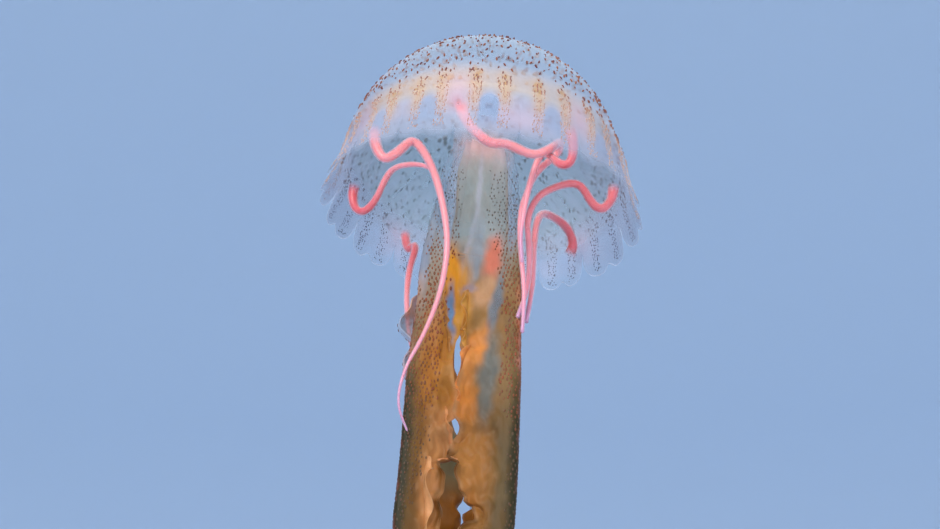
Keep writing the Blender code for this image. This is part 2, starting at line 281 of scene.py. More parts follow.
def take_alone(obj: Object) -> None:
    """Select one object and nothing else, and make it active."""
    bpy.ops.object.select_all(action="DESELECT")
    obj.select_set(True)
    bpy.context.view_layer.objects.active = obj


def add_object(name: str, data: bpy.types.ID) -> Object:
    """New object in the scene that holds a mesh, a lamp or a camera."""
    obj = bpy.data.objects.new(name, data)
    bpy.context.scene.collection.objects.link(obj)
    return obj


def add_primitive(operator: Callable, **sizes: object) -> Object:
    """Add a mesh primitive with nothing else selected."""
    bpy.ops.object.select_all(action="DESELECT")
    operator(**sizes)
    return bpy.context.object


def edit_all() -> None:
    """Enter edit mode with the whole mesh selected."""
    bpy.ops.object.mode_set(mode="EDIT")
    bpy.ops.mesh.select_all(action="SELECT")


def read_points(obj: Object) -> Array:
    """Places of a mesh's vertices."""
    places = np.empty(len(obj.data.vertices) * 3, np.float32)
    obj.data.vertices.foreach_get("co", places)
    return places.reshape(-1, 3).astype(float)


def write_points(obj: Object, points: Array) -> None:
    """Move a mesh's vertices to new places."""
    obj.data.vertices.foreach_set("co", points.astype(np.float32).ravel())
    obj.data.update()


def dye(obj: Object, tint: Array, haze: Array) -> None:
    """Store a colour and a solidity for each vertex of a mesh.

    Args:
        obj: The mesh.
        tint: Linear colours.
        haze: Solidities, 0 for clear and 1 for solid.
    """
    colours = np.concatenate([tint, np.ones((len(tint), 1))], axis=1)
    for name, kind, field, values in (("tint", "FLOAT_COLOR", "color", colours),
                                      ("haze", "FLOAT", "value", haze)):
        layer = obj.data.attributes.new(name, kind, "POINT")
        layer.data.foreach_set(field, np.clip(values, 0.0, 1.0).astype(np.float32).ravel())


def wrapped_sheet(name: str, columns: int, rows: int,
                  rule: Callable[[Array, Array], tuple[Array, Paint]]) -> Object:
    """Closed skin made from a flat grid that a rule wraps into place.

    Args:
        name: Name of the new piece.
        columns: Faces across the grid.
        rows: Faces along the grid.
        rule: Gives the places in the animal's frame, and the paint, from the shares across and along.

    Returns:
        The piece, with its edges welded and its faces pointing out.
    """
    sheet = add_primitive(bpy.ops.mesh.primitive_grid_add, x_subdivisions=columns, y_subdivisions=rows,
                          size=2.0)
    sheet.name = name
    flat = (read_points(sheet)[:, :2] + 1.0) / 2.0
    points, paint = rule(flat[:, 0], flat[:, 1])
    write_points(sheet, to_part(points))
    dye(sheet, paint.tint, paint.haze)
    edit_all()
    bpy.ops.mesh.remove_doubles(threshold=WELD)
    bpy.ops.mesh.normals_make_consistent(inside=False)
    bpy.ops.object.mode_set(mode="OBJECT")
    bpy.ops.object.shade_smooth()
    return sheet


def join(name: str, pieces: list[Object]) -> Object:
    """Join pieces into the first one and name it.

    Args:
        name: Name of the joined piece.
        pieces: One piece or more.

    Returns:
        The joined piece.
    """
    take_alone(pieces[0])
    for piece in pieces[1:]:
        piece.select_set(True)
    if len(pieces) > 1:
        bpy.ops.object.join()
    pieces[0].name = name
    return pieces[0]


def settle(piece: Object, material: bpy.types.Material, slot: Slot, *nodes: str) -> Object:
    """Dress a finished piece, fix it to the body and let it stand for its CAD nodes.

    Args:
        piece: The piece, with its place in its mesh.
        material: The piece's only material.
        slot: The record's slot for its finish. Not used.
        nodes: The CAD nodes that it replaces.

    Returns:
        The piece.
    """
    piece.data.materials.clear()
    piece.data.materials.append(material)
    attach(piece, "root")
    if nodes:
        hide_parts(*nodes)
    piece.data.calc_loop_triangles()
    LOG.info("%s: %d triangles", piece.name, len(piece.data.loop_triangles))
    return piece


# ---------------------------------------------------------------- finishes

def new_material(name: str) -> tuple[bpy.types.Material, bpy.types.NodeTree, bpy.types.Node]:
    """A node material, its tree and its Principled shader.

    Args:
        name: The material's name.

    Returns:
        The material, the tree and the shader.
    """
    material = bpy.data.materials.new(name)
    material.use_nodes = True
    tree = material.node_tree
    return material, tree, tree.nodes["Principled BSDF"]


def add_node(tree: bpy.types.NodeTree, kind: str, **settings: object) -> bpy.types.Node:
    """Add a node and give its named inputs or its own settings their values.

    Args:
        tree: The tree.
        kind: The node's type.
        settings: Values by name.

    Returns:
        The node.
    """
    node = tree.nodes.new(kind)
    for key, value in settings.items():
        if key in node.inputs:
            node.inputs[key].default_value = value
        else:
            setattr(node, key, value)
    return node


def set_inputs(node: bpy.types.Node, values: dict[str, object]) -> None:
    """Give a node's named inputs their values."""
    for name, value in values.items():
        node.inputs[name].default_value = value


def math_node(tree: bpy.types.NodeTree, operation: str, first: object,
              second: object) -> bpy.types.NodeSocket:
    """Output of a Math node on two sockets or numbers.

    Args:
        tree: The tree.
        operation: The node's operation.
        first: First socket or number.
        second: Second socket or number.

    Returns:
        The output socket.
    """
    node = add_node(tree, "ShaderNodeMath", operation=operation)
    for socket, value in zip(node.inputs, (first, second)):
        if isinstance(value, bpy.types.NodeSocket):
            tree.links.new(value, socket)
        else:
            socket.default_value = value
    return node.outputs[0]


@dataclass(frozen=True)
class TissueFinish:
    """Wet, see-through flesh whose colour and solidity are stored on its vertices.

    Scales are in cycles for each metre, bump_height and subsurface_scale are in metres, and stretch is how
    much longer than wide the mottles are. The edge values say how the flesh thickens where it is seen
    aslant, and how far its colour is drawn there towards a painted whitish sheen: edge_power is how
    sharply, and edge_fill is how fast a solidity above 0 brings it in.
    """

    name: str
    roughness: float
    coat: float
    mottle_scale: float
    mottle: float
    bump_scale: float
    bump_height: float
    edge_gain: float
    edge_sheen: float = 0.0
    specular: float = 0.5
    subsurface: float = 0.0
    subsurface_scale: float = 0.002
    stretch: float = 1.0
    edge_sheen_colour: tuple[float, float, float] = (0.86, 0.85, 0.93)
    edge_power: float = 3.0
    edge_fill: float = 7.0
    coat_roughness: float = 0.08
    scatter: tuple[float, float, float] = (1.0, 0.45, 0.35)

    def build(self) -> bpy.types.Material:
        """Make the node material.

        Returns:
            The material.
        """
        material, tree, shader = new_material(self.name)
        grid = add_node(tree, "ShaderNodeMapping", Scale=(1.0, 1.0, 1.0 / self.stretch))
        tree.links.new(add_node(tree, "ShaderNodeTexCoord").outputs["Object"], grid.inputs["Vector"])
        place = grid.outputs["Vector"]
        tint = add_node(tree, "ShaderNodeAttribute", attribute_name="tint")
        haze = add_node(tree, "ShaderNodeAttribute", attribute_name="haze")
        mottle = add_node(tree, "ShaderNodeTexNoise", Scale=self.mottle_scale, Detail=3.0, Roughness=0.6)
        tree.links.new(place, mottle.inputs["Vector"])
        change = math_node(tree, "MULTIPLY_ADD", mottle.outputs["Fac"], 2.0 * self.mottle)
        change.node.inputs[2].default_value = 1.0 - self.mottle
        scaled = add_node(tree, "ShaderNodeVectorMath", operation="SCALE")
        tree.links.new(tint.outputs["Color"], scaled.inputs[0])
        tree.links.new(change, scaled.inputs["Scale"])
        facing = add_node(tree, "ShaderNodeLayerWeight", Blend=0.5).outputs["Facing"]
        grazing = math_node(tree, "POWER", facing, self.edge_power)
        # Painted sheen: the colour is drawn towards a pale tone where the surface is seen aslant.
        pale = add_node(tree, "ShaderNodeMixRGB", Color2=(*self.edge_sheen_colour, 1.0))
        tree.links.new(math_node(tree, "MULTIPLY", grazing, self.edge_sheen), pale.inputs["Fac"])
        tree.links.new(scaled.outputs[0], pale.inputs["Color1"])
        tree.links.new(pale.outputs["Color"], shader.inputs["Base Color"])
        body = math_node(tree, "MULTIPLY", haze.outputs["Fac"], self.edge_fill)
        body = math_node(tree, "MINIMUM", body, 1.0)
        edge = math_node(tree, "MULTIPLY", math_node(tree, "MULTIPLY", grazing, self.edge_gain), body)
        clear = math_node(tree, "SUBTRACT", 1.0, haze.outputs["Fac"])
        solid = math_node(tree, "ADD", haze.outputs["Fac"], math_node(tree, "MULTIPLY", clear, edge))
        tree.links.new(solid, shader.inputs["Alpha"])
        grain = add_node(tree, "ShaderNodeTexNoise", Scale=self.bump_scale, Detail=2.0)
        tree.links.new(place, grain.inputs["Vector"])
        bump = add_node(tree, "ShaderNodeBump", Strength=1.0, Distance=self.bump_height)
        tree.links.new(grain.outputs["Fac"], bump.inputs["Height"])
        tree.links.new(bump.outputs["Normal"], shader.inputs["Normal"])
        set_inputs(shader, {"Roughness": self.roughness, "Coat Weight": self.coat,
                            "Coat Roughness": self.coat_roughness, "Specular IOR Level": self.specular,
                            "Subsurface Weight": self.subsurface, "Subsurface Scale": self.subsurface_scale,
                            "Subsurface Radius": self.scatter})
        return material


@dataclass(frozen=True)
class HardFinish:
    """Smooth made surface with fine streaks of wear in its gloss."""

    name: str
    colour: tuple[float, float, float]
    roughness: float
    metallic: float
    streak_scale: tuple[float, float, float]
    streak: float

    def build(self) -> bpy.types.Material:
        """Make the node material.

        Returns:
            The material.
        """
        material, tree, shader = new_material(self.name)
        place = add_node(tree, "ShaderNodeTexCoord").outputs["Object"]
        stretch = add_node(tree, "ShaderNodeMapping", Scale=self.streak_scale)
        tree.links.new(place, stretch.inputs["Vector"])
        wear = add_node(tree, "ShaderNodeTexNoise", Scale=1.0, Detail=4.0, Roughness=0.65)
        tree.links.new(stretch.outputs["Vector"], wear.inputs["Vector"])
        gloss = math_node(tree, "MULTIPLY_ADD", wear.outputs["Fac"], 2.0 * self.streak)
        gloss.node.inputs[2].default_value = self.roughness - self.streak
        tree.links.new(gloss, shader.inputs["Roughness"])
        set_inputs(shader, {"Base Color": (*self.colour, 1.0), "Metallic": self.metallic})
        return material


BELL_FINISH = TissueFinish("bell_jelly", roughness=0.36, coat=0.08, mottle_scale=70.0, mottle=0.1,
                           bump_scale=420.0, bump_height=0.00012, edge_gain=0.3, edge_sheen=0.25,
                           specular=0.25)
WART_FINISH = TissueFinish("wart_skin", roughness=0.36, coat=0.12, mottle_scale=500.0, mottle=0.18,
                           bump_scale=2500.0, bump_height=0.00005, edge_gain=0.0, specular=0.3)
ARM_FINISH = TissueFinish("arm_tissue", roughness=0.5, coat=0.03, mottle_scale=300.0, mottle=0.32,
                          bump_scale=800.0, bump_height=0.00025, edge_gain=0.3, specular=0.14,
                          subsurface=0.15, subsurface_scale=0.0012, stretch=3.5)
FRILL_FINISH = TissueFinish("frill_tissue", roughness=0.46, coat=0.04, mottle_scale=420.0, mottle=0.26,
                            bump_scale=1400.0, bump_height=0.00016, edge_gain=0.12, specular=0.2,
                            subsurface=0.2, subsurface_scale=0.001)
TENTACLE_FINISH = TissueFinish("tentacle_flesh", roughness=0.32, coat=0.25, mottle_scale=260.0, mottle=0.07,
                               bump_scale=900.0, bump_height=0.00005, edge_gain=0.3, edge_sheen=0.4,
                               specular=0.4, subsurface=0.35, subsurface_scale=0.0012)
ACRYLIC_FINISH = HardFinish("black_acrylic", colour=(0.018, 0.019, 0.022), roughness=0.16, metallic=0.0,
                            streak_scale=(260.0, 260.0, 260.0), streak=0.05)
STEEL_FINISH = HardFinish("brushed_steel", colour=(0.62, 0.63, 0.65), roughness=0.28, metallic=1.0,
                          streak_scale=(2600.0, 2600.0, 40.0), streak=0.1)


# ---------------------------------------------------------------- bell

@dataclass(frozen=True)
class Margin:
    """The ring of sixteen lappets: two between each pair of neighbouring tentacles.

    drop is how far a lappet hangs below the ring, and cleft_drop how far the clefts between lappets do.
    The front values are added at the front, where the clefts are filled in and the lappets droop.
    streak_parts are the shares across a lappet at which its two streaks of warts run.
    """

    tentacle_azimuths: tuple[float, ...] = (-53.0, -11.0, 36.0, 79.0, 132.0, 175.0, 219.0, 264.0)
    drop: float = 12.8
    cleft_drop: float = 3.0
    cleft_fill: float = 12.4
    notch_depth: float = 2.2
    notch_width: float = 0.09
    front_droop: float = 5.4
    flare_front: float = -0.8
    flare_side: float = 3.6
    cupping: float = 0.8
    streak_parts: tuple[float, float] = (0.27, 0.73)

    def bounds(self) -> Array:
        """Azimuths at which one lappet ends and the next begins, rising from the first tentacle.

        Returns:
            Seventeen azimuths, the last a full turn past the first.
        """
        here = np.array(self.tentacle_azimuths)
        after = np.append(here[1:], here[0] + 360.0)
        edges = np.stack([here, (here + after) / 2.0], axis=1).ravel()
        return np.append(edges, here[0] + 360.0)

    def part(self, azimuth: Array) -> tuple[Array, Array, Array]:
        """Lappet's number, the share across it, and its width in degrees, at azimuths.

        Args:
            azimuth: The azimuths.

        Returns:
            The number, the share and the width.
        """
        edges = self.bounds()
        turned = edges[0] + np.mod(azimuth - edges[0], 360.0)
        number = np.clip(np.searchsorted(edges, turned, side="right") - 1, 0, len(edges) - 2)
        width = edges[number + 1] - edges[number]
        return number, (turned - edges[number]) / width, width

    def hang(self, azimuth: Array) -> Array:
        """How far the margin hangs below the ring: two lobes and a notch in each lappet.

        Args:
            azimuth: The azimuths.

        Returns:
            The drop of the margin at each.
        """
        _, part, _ = self.part(azimuth)
        rounded = np.sqrt(np.maximum(1.0 - np.abs(2.0 * part - 1.0) ** 5, 0.0))
        front = ease(0.2, 1.0, np.cos(np.radians(azimuth)))
        notch = self.notch_depth * hump(0.5, self.notch_width, part) * (1.0 - 0.5 * front)
        cleft = self.cleft_drop + self.cleft_fill * front
        return cleft + (self.drop + self.front_droop * front - cleft) * rounded - notch

    def flare(self, azimuth: Array) -> Array:
        """How far the tip of a lappet stands out from the ring."""
        side = np.sin(np.radians(azimuth)) ** 2
        return self.flare_front + (self.flare_side - self.flare_front) * side

    def streak_distance(self, azimuth: Array, radius: float) -> Array:
        """Distance along the ring to the middle of the nearest streak of warts, in millimetres.

        Args:
            azimuth: The azimuths.
            radius: The ring's radius.

        Returns:
            The distances.
        """
        _, part, width = self.part(azimuth)
        away = np.min([np.abs(part - place) for place in self.streak_parts], axis=0)
        return away * np.radians(width) * radius

    def root_distance(self, azimuth: Array, radius: float) -> Array:
        """Distance along the ring to the nearest tentacle, in millimetres.

        Args:
            azimuth: The azimuths.
            radius: The ring's radius.

        Returns:
            The distances.
        """
        roots = np.array(self.tentacle_azimuths)
        away = np.abs(signed(azimuth[:, None] - roots))
        return np.radians(away.min(axis=1)) * radius


@dataclass(frozen=True)
class Bell:
    """The swimming bell: a domed wall over a hollow, with a belt of lappets below the ring.

    The dome is part of a ball whose polar angle at the ring is ring_polar. squash is how much of it is
    drawn in along each axis, and dome_shift how far it leans to the side. front_trail is the azimuth, by
    distance below the ring, of the coral line in the front lappet. The rows are the faces of the skin in
    each band, from the top of the dome round the rim to the top of the hollow.
    """

    margin: Margin = Margin()
    radius: float = 46.2
    centre_height: float = 2.4
    ring_polar: float = 93.0
    hollow_radius: float = 43.8
    hollow_height: float = 22.0
    squash_span: tuple[float, float] = (-3.0, 16.0)
    squash: tuple[float, float, float] = (0.042, 0.03, 0.038)
    dome_shift: float = -1.1
    front_trail: tuple = ((1.0, -11.5), (9.0, -9.0))
    rays: int = 32
    lappet_edge: float = 0.45
    columns: int = 720
    dome_rows: int = 42
    lappet_rows: int = 24
    rim_rows: int = 2
    lining_rows: int = 12
    hollow_rows: int = 26

    def bands(self) -> Array:
        """Rows of the skin that lie above the end of each band."""
        return np.cumsum([self.dome_rows, self.lappet_rows, self.rim_rows, self.lining_rows,
                          self.hollow_rows])

    def squashed(self, points: Array) -> Array:
        """Places on the bell after its dome is drawn in and shifted a little to one side."""
        share = ease(*self.squash_span, points[:, 2])[:, None]
        shift = np.array([self.dome_shift, 0.0, 0.0])
        return points * (1.0 - share * np.array(self.squash)) + share * shift

    def outside(self, azimuth: Array, below: Array) -> Array:
        """Points of the outer surface.

        Args:
            azimuth: The azimuths.
            below: Distances under the ring, negative over the dome.

        Returns:
            The points.
        """
        polar = np.radians(self.ring_polar) + np.minimum(below, 0.0) / self.radius
        depth = np.maximum(below, 0.0)
        _, part, _ = self.margin.part(azimuth)
        hang = depth / self.margin.drop
        swell = self.margin.cupping * np.sin(np.pi * part) * hang
        reach = self.radius * np.sin(polar) + self.margin.flare(azimuth) * hang ** 1.5 + swell
        height = self.centre_height + self.radius * np.cos(polar) - depth
        return self.squashed(around(azimuth, reach, height))

    def wall(self, across: Array, along: Array) -> tuple[Array, Paint]:
        """Wrap the grid over the dome, down the lappets, round their edge and up into the hollow.

        Args:
            across: Shares round the bell.
            along: Shares from the top of the dome to the top of the hollow.

        Returns:
            The points and their paint.
        """
        azimuth = 360.0 * across - 180.0
        hang = self.margin.hang(azimuth)
        ring, tip, rim, lining, top = self.bands()
        row = along * top
        outside, inside = row <= tip, row > lining
        over = self.radius * math.radians(self.ring_polar)
        back = behind(row, rim, self.lining_rows)
        below = hang * behind(row, ring, self.lappet_rows) - over * (1.0 - behind(row, 0.0, ring))
        below = np.where(outside, below, hang * (1.0 - back))
        turn = behind(row, tip, self.rim_rows)
        wall = self.radius * math.sin(math.radians(self.ring_polar)) - self.hollow_radius
        thick = np.where(outside, 0.0, blend(wall, self.lappet_edge, 1.0 - back)) * turn
        points = self.outside(azimuth, below) + around(azimuth, -1.0, 0.0) * thick[:, None]
        points[:, 2] -= 0.5 * self.lappet_edge * np.sin(np.pi * turn) * (back <= 0.0)
        polar = np.pi / 2.0 * (1.0 - behind(row, lining, self.hollow_rows))
        roof = around(azimuth, self.hollow_radius * np.sin(polar), self.hollow_height * np.cos(polar))
        points = np.where(inside[:, None], self.squashed(roof), points)
        climb = np.where(inside, self.hollow_radius * (np.pi / 2.0 - polar), 0.0)
        return points, self.tissue(azimuth, below - climb, hang, row > tip + 0.5)

    def late(self, azimuth: Array) -> Array:
        """How much lower the warm belt starts at azimuths, which is most on the left."""
        turned = signed(azimuth)
        return 1.0 + 3.2 * ease(10.0, 42.0, -turned) + 0.8 * ease(20.0, 50.0, turned)

    def tissue(self, azimuth: Array, below: Array, hang: Array, inner: Array) -> Paint:
        """Colour of the wall.

        Args:
            azimuth: Azimuth of each point.
            below: Distance under the ring, negative above it.
            hang: How far the margin hangs at each azimuth.
            inner: True on the side of the hollow.

        Returns:
            The paint of both sides.
        """
        down = below / np.maximum(hang, 1.0)
        front = 1.0 - ease(55.0, 120.0, np.abs(signed(azimuth)))
        paint = self.flesh(azimuth, below, down, front)
        lining = self.lining(azimuth, below, down, front)
        paint.tint = np.where(inner[:, None], lining.tint, paint.tint)
        paint.haze = np.where(inner, lining.haze, paint.haze)
        paint.haze *= 1.0 - 0.3 * (1.0 - front) * ease(-4.0, 2.0, below)
        return paint

    def flesh(self, azimuth: Array, below: Array, down: Array, front: Array) -> Paint:
        """Colour of the outer side.

        Args:
            azimuth: Azimuth of each point.
            below: Distance under the ring.
            down: Share of the way from the ring to the margin.
            front: 1 at the front of the bell and 0 at its back.

        Returns:
            The paint, with clear windows in the lappets, a warm belt over the ring and painted shade on the
            bell's sides.
        """
        margin = self.margin
        number, part, width = margin.part(azimuth)
        streak = margin.streak_distance(azimuth, self.radius)
        root = margin.root_distance(azimuth, self.radius)
        turned = signed(azimuth)
        side = np.abs(turned)
        under = ease(-1.0, 3.0, below)
        paint = Paint(len(azimuth), shade(158, 178, 192), 0.37)
        paint.lay(ease(-32.0, -14.0, below) * 0.5, shade(176, 184, 204), 0.38)
        paint.lay(hump(-30.0, 30.0, turned) * hump(-24.0, 10.0, below) * 0.6, shade(150, 158, 170), 0.4)
        paint.lay(under, shade(214, 208, 226), 0.36)
        paint.lay(under * front, shade(188, 178, 190), 0.54)
        paint.lay(ease(0.5, 0.95, down) * (1.0 - 0.5 * front), shade(176, 194, 218), 0.22)
        late = self.late(azimuth)
        belt = ease(-17.5, -7.0, below - late) * (1.0 - ease(-3.0, 2.5, below))
        paint.lay(belt * (0.2 + 0.8 * front), shade(210, 184, 164), 0.6)
        paint.lay(belt * hump(-40.0, 26.0, turned) * 0.6, shade(214, 174, 134), 0.6)
        paint.lay(belt * hump(58.0, 24.0, turned) * 0.5, shade(168, 170, 176), 0.5)
        stripe = hump(0.0, 2.3, streak) * (1.0 - ease(0.05, 0.6, down))
        stripe *= ease(-14.0, -7.0, below - late)
        paint.lay(stripe * (0.15 + 0.85 * front) * 0.85, shade(216, 166, 104), 0.62)
        paint.lay(ease(0.3, 0.6, down) * front * 0.75, shade(164, 168, 184), 0.5)
        paint.lay(hump(12.0, 13.0, turned) * hump(8.5, 4.0, below) * 0.8, shade(220, 188, 198), 0.56)
        middle = np.abs(part - 0.5) * np.radians(width) * self.radius
        window = (middle / 2.9) ** 2 + (np.maximum(4.4 - below, 0.0) / 3.6) ** 2
        window = (1.0 - ease(0.5, 1.35, window)) * (0.5 + 0.4 * hump(2.0, 0.7, number))
        paint.lay(window * (1.0 - ease(0.4, 0.8, down)), shade(158, 180, 214), 0.34)
        paint.lay(hump(0.0, 4.0, root) * hump(0.0, 6.0, below) * 0.7, shade(240, 180, 178), 0.5)
        trail = np.radians(azimuth - smooth_table(self.front_trail, below)) * self.radius
        trail = hump(0.0, 1.8, trail) * ease(0.5, 5.0, below) * (1.0 - ease(5.5, 9.0, below))
        paint.lay(0.8 * trail, shade(250, 144, 148), 0.34)
        # Painted shade: the bell is drawn darker and greyer on its sides, except near its top.
        flank_shade = ease(38.0, 72.0, side) * (1.0 - ease(112.0, 140.0, side))
        paint.lay(flank_shade * ease(-52.0, -24.0, below) * 0.75, shade(126, 118, 138), 0.4)
        paint.haze *= 1.0 - 0.95 * ease(0.72, 1.0, down) * front
        paint.lay(ease(0.955, 0.985, down) * (1.0 - front), shade(232, 236, 248), 0.5)
        return paint

    def lining(self, azimuth: Array, below: Array, down: Array, front: Array) -> Paint:
        """Colour of the side of the hollow, with fine rays.

        Args:
            azimuth: Azimuth of each point.
            below: Distance under the ring.
            down: Share of the way from the ring to the margin.
            front: 1 at the front of the bell and 0 at its back.

        Returns:
            The paint.
        """
        paint = Paint(len(azimuth), shade(160, 178, 178), 0.44)
        rays = 0.5 + 0.5 * np.cos(np.radians(azimuth) * self.rays)
        paint.lay(0.35 * rays * ease(-38.0, -24.0, below), shade(186, 196, 208), 0.5)
        paint.lay(ease(-16.0, -4.0, below), shade(176, 186, 204), 0.3)
        paint.lay(ease(-2.0, 2.0, below), shade(196, 208, 226), 0.08)
        paint.haze *= 1.0 - 0.9 * ease(0.4, 0.95, down) * front
        return paint

    def build(self) -> Object:
        """Make the skin that stands for the crown and the eight wall pieces.

        Returns:
            The skin.
        """
        skin = wrapped_sheet("bell_skin", self.columns, int(self.bands()[-1]), self.wall)
        nodes = ["bell_crown"] + [f"bell_wall_{number}" for number in range(1, 9)]
        settle(skin, BELL_FINISH.build(), Slot.BELL, *nodes)
        skin.visible_shadow = False
        return skin


# ---------------------------------------------------------------- warts

@dataclass
class WartField:
    """Warts set on a skin: each a low mound, all joined into one mesh.

    foot is the height at which a ball of radius 1 is cut for a mound, and patch is the size of a mound on
    the unwrap of the skin.
    """

    name: str
    segments: int = 8
    rings: int = 6
    foot: float = -0.3
    patch: float = 0.003

    def mound(self) -> tuple[Array, Array]:
        """Points and triangles of one mound, of radius 1, with its foot sunk below z = 0.

        Returns:
            The points and the triangles.
        """
        ball = add_primitive(bpy.ops.mesh.primitive_uv_sphere_add, segments=self.segments,
                             ring_count=self.rings, radius=1.0)
        edit_all()
        bpy.ops.mesh.bisect(plane_co=(0.0, 0.0, self.foot), plane_no=(0.0, 0.0, 1.0), clear_inner=True)
        bpy.ops.mesh.select_all(action="SELECT")
        bpy.ops.mesh.quads_convert_to_tris()
        bpy.ops.object.mode_set(mode="OBJECT")
        points = read_points(ball)
        faces = np.array([tuple(polygon.vertices) for polygon in ball.data.polygons])
        bpy.data.objects.remove(ball, do_unlink=True)
        return points, faces

    def build(self, places: Array, normals: Array, downs: Array, sizes: Array, colours: tuple[Array, Array],
              roots: Array) -> Object:
        """Join one mound for each place.

        Args:
            places: Roots in the animal's frame.
            normals: Directions out of the skin.
            downs: Directions of the mounds' length.
            sizes: Half length, half width and height of each.
            colours: Colour of each at its foot and at its top.
            roots: Place of each root on the unwrap of the skin, 0 to 1.

        Returns:
            The joined mesh, with a map of its mounds on the unwrap of the skin.
        """
        mound, faces = self.mound()
        count, corners = len(places), len(mound)
        normals = unit(normals)
        downs = unit(downs - normals * np.sum(downs * normals, axis=1)[:, None])
        sides = np.cross(normals, downs)
        local = mound[None, :, :] * sizes[:, None, :]
        points = (places[:, None, :] + local[:, :, :1] * downs[:, None, :]
                  + local[:, :, 1:2] * sides[:, None, :] + local[:, :, 2:] * normals[:, None, :])
        mesh = bpy.data.meshes.new(self.name)
        all_faces = (faces[None, :, :] + corners * np.arange(count)[:, None, None]).reshape(-1, 3)
        mesh.from_pydata(to_part(points.reshape(-1, 3)), [], all_faces)
        obj = add_object(self.name, mesh)
        foot, top = (colour[:, None, :] for colour in colours)
        tint = blend(foot, top, ease(0.35, 0.85, mound[:, 2])[None, :, None])
        dye(obj, tint.reshape(-1, 3), np.ones(count * corners))
        unwrap = roots[:, None, :] + mound[None, :, :2] * self.patch / 2.0
        layer = mesh.uv_layers.new(name="OFBake")
        layer.data.foreach_set("uv", unwrap.reshape(-1, 2)[all_faces.ravel()].astype(np.float32).ravel())
        take_alone(obj)
        bpy.ops.object.shade_smooth()
        return obj


